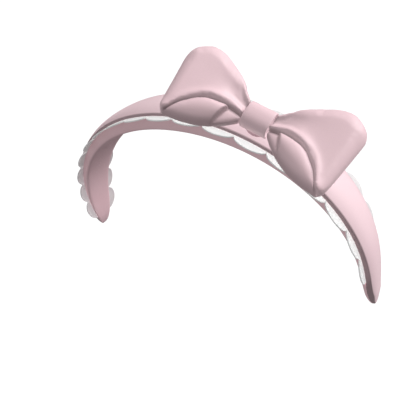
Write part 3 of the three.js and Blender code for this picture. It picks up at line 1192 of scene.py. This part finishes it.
@dataclass
class BowPiece:
    """What the stuffed pieces of one side of the bow share: their outline, as shares of the loop."""

    seat: BowSeat
    side: Side
    length: float = 28.6 * MM
    half_height: float = 15.1 * MM
    mouth_depth: float = 2.85 * MM
    knot_width: float = 9 * MM
    far_reach: tuple[float, float] = (0.895, 0.98)
    upper_edge: tuple[tuple[float, float], ...] = (
        (0, 0.24), (0.1, 0.4), (0.2, 0.57), (0.32, 0.7), (0.43, 0.8), (0.58, 0.92), (0.73, 0.95),
        (0.83, 0.87), (0.93, 0.73), (0.975, 0.61), (1, 0.45),
    )
    crease: tuple[tuple[float, float], ...] = (
        (0, -0.19), (0.125, -0.17), (0.245, -0.18), (0.365, -0.21), (0.46, -0.25), (0.535, -0.31),
        (0.625, -0.425), (0.725, -0.58), (0.8, -0.745), (0.85, -0.9), (0.895, -0.97), (0.94, -0.95),
        (0.975, -0.85), (1, -0.66),
    )
    lower_edge: tuple[tuple[float, float], ...] = (
        (0, -0.26), (0.1, -0.44), (0.22, -0.61), (0.36, -0.76), (0.48, -0.85), (0.61, -0.92),
        (0.72, -0.96), (0.79, -0.99),
    )
    shaded_crease: tuple[float, float] = (0.82, 0.76)
    shaded_depth: tuple[float, float] = (2.8 * MM, 4.3 * MM)
    shaded_mouth: tuple[float, float] = (-0.4 * MM, 0.9 * MM)
    mouth_shade: float = 0.8
    edge_shade: float = 0.6
    edge_shade_width: float = 2.2 * MM
    edge_shade_end: float = 0.8
    held_mouth: tuple[float, float] = (0.5 * MM, 4 * MM)

    @property
    def start(self) -> float:
        """Distance of the loop's mouth from the middle of the knot."""
        return self.knot_width / 2 + self.seat.gap + self.mouth_depth * math.sin(self.seat.sweep)

    def crease_at(self, share: float) -> float:
        """Height of the crease where the distance from the mouth is a share of the length."""
        return self.height(self.crease, share / self.far_reach[0])

    def height(self, line: tuple, share: float) -> float:
        """Height of one of the outline's lines at a share of the length."""
        return along_line(line, min(1.0, max(0.0, share))) * self.half_height

    def tuck_shade(self, share: float, height: float) -> float:
        """How dark a tuck makes the cloth at a share of the length and a height, where there is one."""
        return 0.0

    def shade_creases(self, made: bpy.types.Object, reach: float) -> None:
        """Paints shade on the cloth close to the crease, by the knot, along a tuck and near the lower edge.

        Args:
            made: The piece, in its place.
            reach: How far from the crease the mark runs.
        """
        back = self.seat.side_frame(self.side).inverted()
        values = []
        for vert in made.data.vertices:
            local = back @ vert.co
            share = (local.x - self.start) / self.length
            off = abs(local.y - self.crease_at(share))
            deep = smooth_step(*self.shaded_crease, share) * (1 - smooth_step(*self.shaded_depth, local.z))
            shades = [
                deep * (1 - smooth_step(0, reach, off)),
                self.mouth_shade * bell(local.x - self.start, *self.shaded_mouth),
                self.tuck_shade(share, local.y),
            ]
            if share < self.edge_shade_end:
                above = local.y - self.height(self.lower_edge, share)
                shades.append(self.edge_shade * (1 - smooth_step(0, self.edge_shade_width, above)))
            values.append(max(shades))
        paint(made.data, "seam", values)

    def fill(self, made: bpy.types.Object, puffing: "Puffing | None", fill: float) -> None:
        """Args:
            made: The piece, set down in its place.
            fill: How full it is meant to be, from 0 to 1; not used.
        """
        back = self.seat.side_frame(self.side).inverted()
        if puffing is not None:
            material = made.data.materials[0]
            puffing.run(made, lambda co: 1 - smooth_step(*self.held_mouth, (back @ co).x - self.start))
            made.data.materials.clear()
            made.data.materials.append(material)
        made.data.shade_smooth()
        smooth = made.modifiers.new("round off", "SUBSURF")
        smooth.levels = smooth.render_levels = 1

    def set_down(self, bm: bmesh.types.BMesh) -> None:
        """Carries a mesh from the loop's frame to the bow's place, faces outwards."""
        bmesh.ops.transform(bm, matrix=self.seat.side_frame(self.side), verts=bm.verts)
        bmesh.ops.recalc_face_normals(bm, faces=bm.faces)


@dataclass(frozen=True)
class Puffing:
    """Fills a closed cloth piece with air by cloth simulation, for which it is enlarged ten times."""

    enlarge: float = 10.0
    voxel: float = 5.0 * MM
    pressure: float = 4.0
    frames: int = 20
    cap: float = 3 * MM
    stiffness: float = 12.0
    quality: int = 6
    smoothings: int = 3

    def remeshed(self, made: bpy.types.Object) -> None:
        """Replaces a piece's mesh with even small faces, enlarged for the simulation."""
        made.data.transform(Matrix.Scale(self.enlarge, 4))
        remesh = made.modifiers.new("even", "REMESH")
        remesh.mode, remesh.voxel_size = "VOXEL", self.voxel
        self.apply(made)

    def apply(self, made: bpy.types.Object) -> None:
        """Makes what a piece's modifiers show its own mesh."""
        shown = made.evaluated_get(bpy.context.evaluated_depsgraph_get())
        mesh = bpy.data.meshes.new_from_object(shown)
        made.modifiers.clear()
        made.data = mesh

    def run(self, made: bpy.types.Object, held: Callable[[Vector], float]) -> None:
        """Simulates a piece and keeps the result, back at its own size.

        Args:
            made: The piece, at its real size.
            held: How firmly a point at its real place is held, from 0 to 1.
        """
        self.remeshed(made)
        rest = [vert.co.copy() for vert in made.data.vertices]
        grip = made.vertex_groups.new(name="grip")
        for vert in made.data.vertices:
            grip.add([vert.index], held(vert.co / self.enlarge), "REPLACE")
        cloth = made.modifiers.new("air", "CLOTH")
        settings = cloth.settings
        settings.use_pressure, settings.uniform_pressure_force = True, self.pressure
        settings.tension_stiffness = settings.compression_stiffness = self.stiffness
        settings.quality, settings.vertex_group_mass = self.quality, grip.name
        settings.effector_weights.gravity = 0.0
        cloth.point_cache.frame_end = self.frames
        for now in range(1, self.frames + 1):
            bpy.context.scene.frame_set(now)
        shown = made.evaluated_get(bpy.context.evaluated_depsgraph_get())
        ends = [vert.co.copy() for vert in shown.data.vertices]
        made.modifiers.clear()
        made.vertex_groups.clear()
        for vert, old, new in zip(made.data.vertices, rest, ends):
            move = new - old
            vert.co = old + move * min(1.0, self.cap / max(move.length, WELD))
        made.data.transform(Matrix.Scale(1 / self.enlarge, 4))
        bm = bmesh.new()
        bm.from_mesh(made.data)
        for _ in range(self.smoothings):
            bmesh.ops.smooth_vert(
                bm, verts=bm.verts, factor=0.5, use_axis_x=True, use_axis_y=True, use_axis_z=True
            )
        bm.to_mesh(made.data)
        bm.free()
        bpy.context.scene.frame_set(1)


def rolled(distance: float, radius: float) -> float:
    """Height of a rolled edge as a share of the height that it rolls up to."""
    return math.sqrt(max(0.0, 1 - (1 - min(1.0, distance / radius)) ** 2))


@dataclass
class BowLoop(BowPiece):
    """The puffed upper leaf: a sloping rolled rim, a flat face and a ridge over the crease."""

    rows: int = 64
    columns: int = 57
    mouth_front: float = 2.6 * MM
    full_front: float = 3.7 * MM
    full_back: float = 5.2 * MM
    slope_width: float = 3.2 * MM
    slope_drop: float = 0.46
    rim_roll: float = 1.3 * MM
    crease_roll: float = 1.0 * MM
    far_roll: float = 3.0 * MM
    ridge: float = 1.1 * MM
    ridge_place: float = 1.2 * MM
    ridge_width: float = 1.9 * MM
    valley: float = 1.7 * MM
    valley_length: float = 0.36
    valley_place: float = -0.05
    valley_width: float = 0.5
    pleat_depth: float = 0.14 * MM
    pleat_length: float = 0.2
    pleat_wave: float = 11
    back_roundness: float = 2.6
    filling_rows: int = 24
    filling_span: tuple[float, float] = (0.12, 0.84)
    filling_share: float = 0.62
    lump_depth: float = 0.12
    lumps_per_metre: float = 400

    @property
    def upper_stretch(self) -> float:
        """How much fuller this side's upper edge was sewn than its pattern."""
        return 1.03 if self.side is Side.LEFT else 0.985

    def shares(self) -> list[float]:
        """Shares of the length at which the rows lie, closer at the far edge."""
        return [math.sin(math.pi / 2 * n / (self.rows - 1)) for n in range(self.rows)]

    def front(self, share: float, from_crease: float, from_rim: float, across: float) -> float:
        """Height of the front face.

        Args:
            share: Share of the length.
            from_crease: Distance from the crease.
            from_rim: Distance from the upper edge.
            across: Place between them, -1 to 1.

        Returns:
            The height over the loop's middle.
        """
        full = lerp(self.mouth_front, self.full_front, smooth_step(0, 0.4, share))
        from_far = (1 - share) * self.length
        width = self.slope_width * lerp(0.25, 1, smooth_step(0, 0.5, share))
        slope = 1 - self.slope_drop * max(0.0, 1 - from_rim / width)
        slope *= 1 - 0.5 * self.slope_drop * max(0.0, 1 - from_far / self.slope_width)
        ridge = self.ridge * bell(from_crease, self.ridge_place, self.ridge_width)
        ridge *= smooth_step(1.0, 0.8, share)
        valley = self.valley * bell(share, 0, self.valley_length)
        valley *= bell(across, self.valley_place, self.valley_width)
        pleat = self.pleat_depth * bell(share, 0, self.pleat_length) * math.cos(across * self.pleat_wave)
        roll = rolled(from_crease, self.crease_roll) * rolled(from_rim, self.rim_roll)
        return (full * slope + ridge - valley + pleat) * (roll * rolled(from_far, self.far_roll))

    def back(self, share: float, across: float) -> float:
        """Depth of the plain, evenly puffed back."""
        full = lerp(self.mouth_front, self.full_back, smooth_step(0, 0.5, share))
        section = (1 - abs(across) ** self.back_roundness) ** (1 / self.back_roundness)
        return full * section * rolled((1 - share) * self.length, 2.5 * self.far_roll)

    def place(self, face: int, shares: Sequence[float], fill: float = 1.0) -> Callable[[int, int], Vector]:
        """Gives the places of the points of one face.

        Args:
            face: 1 for the front face and -1 for the back.
            shares: Shares of the length at which the rows lie.
            fill: How much of the loop's section the face takes up.

        Returns:
            A function from row and column to a place in the loop's frame.
        """

        def at(row: int, column: int) -> Vector:
            """The place of one point."""
            share, across = shares[row], eased(column, self.columns)
            upper = self.height(self.upper_edge, share) * self.upper_stretch
            lower = self.height(self.crease, share)
            mid, half = (upper + lower) / 2, (upper - lower) / 2
            if face > 0:
                depth = self.front(share, (1 + across) * half, (1 - across) * half, across)
            else:
                depth = -self.back(share, across)
            along = share * self.length * lerp(*self.far_reach, (across + 1) / 2)
            return Vector((self.start + along, mid + half * fill * across, depth * fill))

        return at

    def build(self, material: bpy.types.Material, puffing: Puffing | None) -> bpy.types.Object:
        """Makes, fills and seats the loop.

        Args:
            material: The bow's satin.

        Returns:
            The loop.
        """
        shares = self.shares()
        bm = bmesh.new()
        two_faced(bm, self.rows, self.columns, self.place(1, shares), self.place(-1, shares))
        self.set_down(bm)
        made = new_piece(f"bow_loop_{self.side.word}_satin", bm, material, 70)
        self.fill(made, puffing, fill=0.7)
        self.shade_creases(made, 1.0 * MM)
        return seat_on_crown(made, "bow_satin", f"bow_loop_{self.side.word}")

    def fill_with(self, material: bpy.types.Material) -> bpy.types.Object:
        """Makes the fibre filling, lumpy and a little smaller than the loop.

        Args:
            material: The fibre.

        Returns:
            The filling.
        """
        rows = self.filling_rows
        steps = [(1 - math.cos(math.pi * n / (rows - 1))) / 2 for n in range(rows)]
        shares = [lerp(*self.filling_span, step) for step in steps]

        def lumpy(front: int) -> Callable[[int, int], Vector]:
            """Places points of one face, rounded off at both ends."""
            inner = self.place(front, shares, self.filling_share)

            def at(row: int, column: int) -> Vector:
                """The place of one point."""
                flat = inner(row, column)
                closing = math.sqrt(max(0.0, 1 - (2 * row / (rows - 1) - 1) ** 4))
                lump = 1 + self.lump_depth * noise.noise(flat * self.lumps_per_metre)
                return Vector((flat.x, flat.y, flat.z * closing * lump))

            return at

        bm = bmesh.new()
        two_faced(bm, rows, self.columns, lumpy(1), lumpy(-1))
        self.set_down(bm)
        made = new_piece(f"bow_stuffing_{self.side.word}_fibre", bm, material, 80)
        return seat_on_crown(made, "fibrefill", f"bow_stuffing_{self.side.word}")


@dataclass
class BowFold(BowPiece):
    """The lower leaf, tucked under the crease, with a small tuck by the knot."""

    rows: int = 70
    columns: int = 37
    end_share: float = 0.83
    half_leaf: float = 4.6 * MM
    crease_roll: float = 0.7 * MM
    tucked_under: float = 0.45 * MM
    tucked_shift: float = 0.015
    end_squareness: float = 14
    fall: float = 1.5
    fall_from: float = 0.35
    tuck_depth: float = 0.62
    tuck_half_width: float = 0.012
    tuck_darkness: float = 0.75
    tuck_shade_shift: float = 0.006
    tuck_shade_width: float = 0.017

    @property
    def tuck_line(self) -> tuple[float, float]:
        """Shares of the length at the lower edge and at the crease between which the tuck runs."""
        return (0.25, 0.17) if self.side is Side.LEFT else (0.24, 0.13)

    def tuck_shade(self, share: float, height: float) -> float:
        """How dark the tuck makes the cloth at a share of the length and a height."""
        lower, upper = self.height(self.lower_edge, share), self.crease_at(share)
        across = (height - lower) / max(upper - lower, WELD)
        centre = lerp(*self.tuck_line, across) + self.tuck_shade_shift
        return self.tuck_darkness * bell(share, centre, self.tuck_shade_width)

    def tuck(self, share: float, across: float) -> float:
        """Share of the leaf's height that is left on the knot's side of the tuck."""
        line = lerp(*self.tuck_line, (across + 1) / 2)
        past = smooth_step(line - self.tuck_half_width, line + self.tuck_half_width, share)
        return lerp(1 - self.tuck_depth, 1.0, past)

    def edges(self, share: float) -> tuple[float, float]:
        """Heights of the leaf's lower edge and of its upper edge, which is hidden under the loop."""
        upper = self.crease_at(share - self.tucked_shift) + self.tucked_under
        return self.height(self.lower_edge, share), upper

    def build(self, material: bpy.types.Material, puffing: Puffing | None) -> bpy.types.Object:
        """Makes, fills and seats the leaf.

        Args:
            material: The bow's satin.

        Returns:
            The leaf.
        """
        steps = [math.sin(math.pi / 2 * n / (self.rows - 1)) ** 1.1 for n in range(self.rows)]
        shares = [self.end_share * step for step in steps]

        def place(front: float) -> Callable[[int, int], Vector]:
            """Places points of the front face, 1, or the back, -1."""

            def at(row: int, column: int) -> Vector:
                """The place of a point in the loop's frame."""
                share, across = shares[row], eased(column, self.columns)
                lower, upper = self.edges(share)
                closing = math.sqrt(max(0.0, 1 - (share / self.end_share) ** self.end_squareness))
                mid, half = (upper + lower) / 2, (upper - lower) / 2
                fullness = 0.6 + 0.4 * math.sin(math.pi * min(1.0, share / 0.8) ** 0.8)
                bulge = rolled((1 - across) * half, self.crease_roll)
                fall = 1 - self.fall * ((1 - across) / 2 - self.fall_from) ** 2
                high = self.half_leaf * fullness * closing * bulge * fall
                return Vector((self.start + share * self.length, mid + half * across, front * high))

            return at

        bm = bmesh.new()
        two_faced(bm, self.rows, self.columns, place(1), place(-1))
        self.set_down(bm)
        made = new_piece(f"bow_fold_{self.side.word}_satin", bm, material, 70)
        self.fill(made, puffing, fill=0.5)
        self.press_tuck(made)
        self.shade_creases(made, 0.9 * MM)
        return seat_on_crown(made, "bow_satin", f"bow_fold_{self.side.word}")

    def press_tuck(self, made: bpy.types.Object) -> None:
        """Presses the small tuck by the knot into the filled leaf."""
        frame_here = self.seat.side_frame(self.side)
        back = frame_here.inverted()
        for vert in made.data.vertices:
            local = back @ vert.co
            if local.z <= 0:
                continue
            share = (local.x - self.start) / self.length
            lower, upper = self.edges(share)
            across = min(1.0, max(-1.0, 2 * (local.y - lower) / max(upper - lower, NEAR) - 1))
            local.z *= self.tuck(share, across)
            vert.co = frame_here @ local


@dataclass
class BowKnot:
    """The strip wrapped round the middle of the bow, its end lapped at the back."""

    seat: BowSeat
    width: float = 9.4 * MM
    half_height: float = 4.6 * MM
    half_depth: float = 3.4 * MM
    wall: float = 0.75 * MM
    squareness: float = 2.35
    lap_from: float = -1.06
    lap_to: float = -0.9
    lap_depth: float = 0.35 * MM
    edge_round: float = 0.18 * MM
    around: int = 72
    rows: int = 13

    def build(self, material: bpy.types.Material) -> bpy.types.Object:
        """Wraps and seats the strip.

        Args:
            material: The bow's satin.

        Returns:
            The knot.
        """
        power = 2 / self.squareness

        def place(row: int, column: int) -> Vector:
            """The place of a point of the strip's inner face in the bow's frame."""
            angle = lerp(self.lap_from, 1.0, column / (self.around - 1)) * math.pi
            lap = self.lap_depth * smooth_step(self.lap_from, self.lap_to, angle / math.pi) - self.lap_depth
            across = math.copysign(abs(math.sin(angle)) ** power, math.sin(angle))
            out = math.copysign(abs(math.cos(angle)) ** power, math.cos(angle))
            x = lerp(-0.5, 0.5, row / (self.rows - 1)) * self.width
            height, depth = self.half_height - self.wall + lap, self.half_depth - self.wall + lap
            return Vector((x, height * across, depth * out))

        bm = bmesh.new()
        grid_into(bm, self.rows, self.around, place)
        bmesh.ops.recalc_face_normals(bm, faces=bm.faces)
        if sum(face.normal.dot(face.calc_center_median() * Vector((0, 1, 1))) for face in bm.faces) < 0:
            bmesh.ops.reverse_faces(bm, faces=bm.faces)
        bmesh.ops.solidify(bm, geom=bm.faces, thickness=-self.wall)
        bmesh.ops.recalc_face_normals(bm, faces=bm.faces)
        rims = [
            edge for edge in bm.edges
            if all(abs(abs(vert.co.x) - self.width / 2) < NEAR for vert in edge.verts)
            and len(edge.link_faces) == 2 and edge.calc_face_angle() > 1.0
        ]
        soften(bm, rims, self.edge_round, 2)
        bmesh.ops.transform(bm, matrix=self.seat.frame(), verts=bm.verts)
        made = new_piece("bow_knot_satin", bm, material, 45)
        paint(made.data, "seam", [0.0] * len(made.data.vertices))
        return seat_on_crown(made, "bow_satin", "bow_knot")


@dataclass
class BowMiddle:
    """What the knot hides: the gathered waist, the thread wound round it and the felt pad."""

    seat: BowSeat
    half_length: float = 4.1 * MM
    half_height: float = 3.3 * MM
    half_depth: float = 2.1 * MM
    stops: tuple[tuple[float, float], ...] = (
        (-1, 1.0), (-0.7, 1.0), (-0.42, 0.75), (-0.3, 0.7), (0.3, 0.7), (0.42, 0.75), (0.7, 1.0), (1, 1.0),
    )
    segments: int = 104
    gathers: int = 13
    gather_depth: float = 0.1
    thread_radius: float = 0.26 * MM
    wound_on: float = 0.7
    turns: int = 5
    steps_a_turn: int = 40
    felt_radius: float = 4 * MM
    felt_round: float = 0.25 * MM
    felt_gap: float = 0.02 * MM
    felt_roughness: float = 0.012
    felt_grain: float = 2500

    def waist(self, material: bpy.types.Material) -> bpy.types.Object:
        """Gathers the cloth between the loops, drawn in where the thread is wound.

        Args:
            material: The bow's satin.

        Returns:
            The waist.
        """
        bm = bmesh.new()
        turn = Matrix.Rotation(math.pi / 2, 4, "Y")
        ring = bmesh.ops.create_circle(
            bm, cap_ends=False, radius=1.0, segments=self.segments, matrix=turn
        )["verts"]
        edges = list({edge for vert in ring for edge in vert.link_edges})
        before = 1.0
        for place, width in self.stops:
            if place > -1:
                grown = bmesh.ops.extrude_edge_only(bm, edges=edges)["geom"]
                ring, edges = points_in(grown), free_edges_in(grown)
            bmesh.ops.scale(bm, verts=ring, vec=(1, width / before, width / before))
            for vert in ring:
                vert.co.x = place * self.half_length
            before = width
        for vert in bm.verts:
            angle = math.atan2(vert.co.z, vert.co.y)
            ripple = 1 - self.gather_depth * (0.5 + 0.5 * math.cos(self.gathers * angle))
            vert.co.y *= self.half_height * ripple
            vert.co.z *= self.half_depth * ripple
        close_up(bm)
        bmesh.ops.transform(bm, matrix=self.seat.frame(), verts=bm.verts)
        made = new_piece("bow_waist_satin", bm, material, 60)
        return seat_on_crown(made, "bow_satin", "bow_waist")

    def thread(self, material: bpy.types.Material) -> bpy.types.Object:
        """Winds the thread round the waist.

        Args:
            material: The thread.

        Returns:
            The thread.
        """
        steps, radius = self.steps_a_turn * self.turns, 10 * MM
        pitch = 2 * self.thread_radius
        bm = bmesh.new()
        start = Matrix.Translation((-self.turns * pitch / 2, radius, 0))
        bmesh.ops.create_circle(bm, cap_ends=False, radius=self.thread_radius, segments=8, matrix=start)
        bmesh.ops.spin(
            bm, geom=[*bm.verts, *bm.edges], cent=(0, 0, 0), axis=(1, 0, 0), angle=math.tau * self.turns,
            dvec=(pitch * self.turns / steps, 0, 0), steps=steps, use_merge=False, use_duplicate=False,
        )
        seat_y = self.half_height * self.wound_on + self.thread_radius
        seat_z = self.half_depth * self.wound_on + self.thread_radius
        for vert in bm.verts:
            flat = Vector((vert.co.y, vert.co.z))
            away, unit = flat.length - radius, flat.normalized()
            vert.co.y, vert.co.z = unit.x * (seat_y + away), unit.y * (seat_z + away)
        bmesh.ops.holes_fill(bm, edges=free_edges_in(bm.edges), sides=0)
        bmesh.ops.recalc_face_normals(bm, faces=bm.faces)
        bmesh.ops.transform(bm, matrix=self.seat.frame(), verts=bm.verts)
        return seat_on_crown(new_piece("bow_thread", bm, material, 80), "binding_thread", "bow_waist_thread")

    def felt(self, material: bpy.types.Material) -> bpy.types.Object:
        """Cuts the felt pad, soft at its edge, and lays it on the slope of the cover.

        Args:
            material: The felt.

        Returns:
            The pad.
        """
        seat = self.seat
        thick = seat.felt_thickness + seat.gap
        half_band = seat.hoop.half_band(seat.shift)
        rise = seat.cover.pad_rise * seat.hoop.taper(seat.shift)
        slope = math.atan(2 * rise * seat.forward / half_band**2)
        bm = bmesh.new()
        disc = bmesh.ops.create_circle(bm, cap_ends=True, radius=self.felt_radius, segments=56)["verts"]
        grown = bmesh.ops.extrude_face_region(bm, geom=[disc[0].link_faces[0]])["geom"]
        bmesh.ops.translate(bm, verts=points_in(grown), vec=(0, 0, thick))
        rims = [edge for edge in bm.edges if abs(edge.verts[0].co.z - edge.verts[1].co.z) < WELD]
        soften(bm, rims, self.felt_round, 3)
        for vert in bm.verts:
            vert.co *= 1 + self.felt_roughness * noise.noise(vert.co * self.felt_grain)
        bmesh.ops.recalc_face_normals(bm, faces=bm.faces)
        turn = Matrix.Rotation(slope, 4, "Z") @ Matrix.Rotation(-math.pi / 2, 4, "X")
        lift = Matrix.Translation((-seat.forward, seat.cover_top() + self.felt_gap, 0))
        bmesh.ops.transform(bm, matrix=seat.hoop_frame() @ lift @ turn, verts=bm.verts)
        bmesh.ops.recalc_face_normals(bm, faces=bm.faces)
        made = new_piece("bow_felt", bm, material, 50)
        return seat_on_crown(made, "felt", "bow_felt_pad")


# ---- The studio -----------------------------------------------------------------------------


@dataclass(frozen=True)
class Lamp:
    """A broad distant light, which falls evenly on the piece and the floor.

    The direction runs from the object to the light, the strength is in watts per square metre and
    the softness is the angle that the light spans, in degrees.
    """

    name: str
    toward: tuple[float, float, float]
    strength: float
    softness: float
    shadow: bool

    def hang(self) -> None:
        """Adds the light to the scene."""
        data = bpy.data.lights.new(self.name, "SUN")
        data.energy, data.angle, data.use_shadow = self.strength, math.radians(self.softness), self.shadow
        made = bpy.data.objects.new(self.name, data)
        made.rotation_mode = "QUATERNION"
        made.rotation_quaternion = Vector(self.toward).to_track_quat("Z", "Y")
        bpy.context.scene.collection.objects.link(made)


@dataclass
class Studio:
    """The floor, the lights and the camera."""

    azimuth: float = 37.9
    elevation: float = 34.0
    roll: float = 10.5
    distance: float = 186.45 * MM
    right: float = 0.51 * MM
    up: float = 8.71 * MM
    lens: float = 35.06
    floor_half: float = 8.0
    floor_drop: float = 0.2 * MM
    floor_glow: float = 0.8
    surroundings: float = 0.25
    lamps: tuple[Lamp, ...] = (
        Lamp("key light", (0.6, 0.46, 0.66), 0.45, 60, True),
        Lamp("shadowless key light", (0.58, 0.47, 0.67), 2.75, 30, False),
        Lamp("fill light", (-0.5, -0.85, 0.1), 0.55, 90, False),
    )

    def camera(self) -> None:
        """Makes the camera and aims it."""
        azimuth, elevation, roll = (math.radians(a) for a in (self.azimuth, self.elevation, self.roll))
        flat = math.cos(elevation)
        back = Vector((math.sin(azimuth) * flat, -math.cos(azimuth) * flat, math.sin(elevation)))
        level = Vector((math.cos(azimuth), math.sin(azimuth), 0))
        upright = back.cross(level)
        right = level * math.cos(roll) - upright * math.sin(roll)
        up = upright * math.cos(roll) + level * math.sin(roll)
        data = bpy.data.cameras.new("camera")
        data.lens, data.sensor_width, data.clip_start = self.lens, 36.0, 0.005
        made = bpy.data.objects.new("camera", data)
        turn = Matrix((right, up, back)).transposed().to_4x4()
        stand = right * self.right + up * self.up + back * self.distance
        made.matrix_world = Matrix.Translation(stand) @ turn
        bpy.context.scene.collection.objects.link(made)
        bpy.context.scene.camera = made

    def floor(self) -> None:
        """Lays the plain pale floor under the tips."""
        bench = ShaderBench("pale floor")
        speckle = bench.noise(bench.body(), 30, 2)
        tone = bench.blend(bench.range(speckle, 0.0, 0.3), srgb(150, 150, 150), srgb(146, 146, 146))
        bench.set(Base_Color=tone, Roughness=bench.range(speckle, 0.85, 0.95), Specular_IOR_Level=0.0)
        bench.set(Emission_Color=(1, 1, 1, 1), Emission_Strength=self.floor_glow)
        bm = bmesh.new()
        bmesh.ops.create_grid(bm, x_segments=2, y_segments=2, size=self.floor_half)
        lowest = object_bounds()[0].z - self.floor_drop
        bmesh.ops.translate(bm, verts=bm.verts, vec=(0, 0, lowest))
        made = new_piece("floor", bm, bench.material)
        made.visible_diffuse = made.visible_glossy = False
        made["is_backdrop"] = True

    def lights(self) -> None:
        """Hangs the lamps and sets the pale surroundings."""
        for lamp in self.lamps:
            lamp.hang()
        world = bpy.data.worlds.new("studio")
        world.use_nodes = True
        backdrop = world.node_tree.nodes["Background"]
        backdrop.inputs["Color"].default_value = (1, 1, 1, 1)
        backdrop.inputs["Strength"].default_value = self.surroundings
        bpy.context.scene.world = world
        bpy.context.scene.view_settings.view_transform = "Standard"


def report(parts: Iterable[bpy.types.Object]) -> None:
    """Logs each piece that has been made."""
    for part in parts:
        log.info("%s: %d faces", part.name, len(part.data.polygons))


def main() -> None:
    """Builds the studio and every piece, and reports each."""
    logging.basicConfig(level=logging.INFO, format="%(name)s: %(message)s")
    studio = Studio()
    studio.camera()
    hoop = Hoop()
    cloth_grain = Grain("cloth")
    cover_satin = SatinFinish("cover satin", (251, 221, 227), (243, 210, 217), cloth_grain).build()
    tricot, lace = TricotFinish().build(), LaceFinish().build()
    foam = FibreFinish("pad foam", (245, 238, 220), (222, 211, 188), 0.5 * MM, 0.2 * MM, True).build()
    for side in Side:
        cover = SatinCover(hoop, side)
        report([
            cover.build(cover_satin),
            TricotLining(hoop, side).build(tricot),
            FoamPad(hoop, side).build(cover, foam),
            LaceEdging(hoop, side).build(lace),
        ])
    SpringCore().dress(MouldedFinish().build())
    seat = BowSeat(hoop, SatinCover(hoop, Side.RIGHT))
    bow_grain = Grain(turn=tuple(seat.frame().inverted().to_euler()))
    bow_satin = SatinFinish("bow satin", (247, 215, 221), (238, 204, 211), bow_grain).build()
    fibre = FibreFinish(
        "fibre filling", (249, 247, 243), (226, 222, 216), 0.9 * MM, 0.3 * MM, False
    ).build()
    felt = FibreFinish("felt", (228, 190, 199), (205, 164, 175), 0.35 * MM, 0.12 * MM, False).build()
    puffing = Puffing()
    middle = BowMiddle(seat)
    parts = [
        BowKnot(seat).build(bow_satin), middle.waist(bow_satin), middle.thread(ThreadFinish().build()),
        middle.felt(felt),
    ]
    for side in Side:
        loop = BowLoop(seat, side)
        parts += [loop.build(bow_satin, puffing), loop.fill_with(fibre)]
        parts.append(BowFold(seat, side).build(bow_satin, puffing))
    for part in parts:
        part.visible_diffuse = False
    report(parts)
    studio.floor()
    studio.lights()


if __name__ == "__main__":
    main()
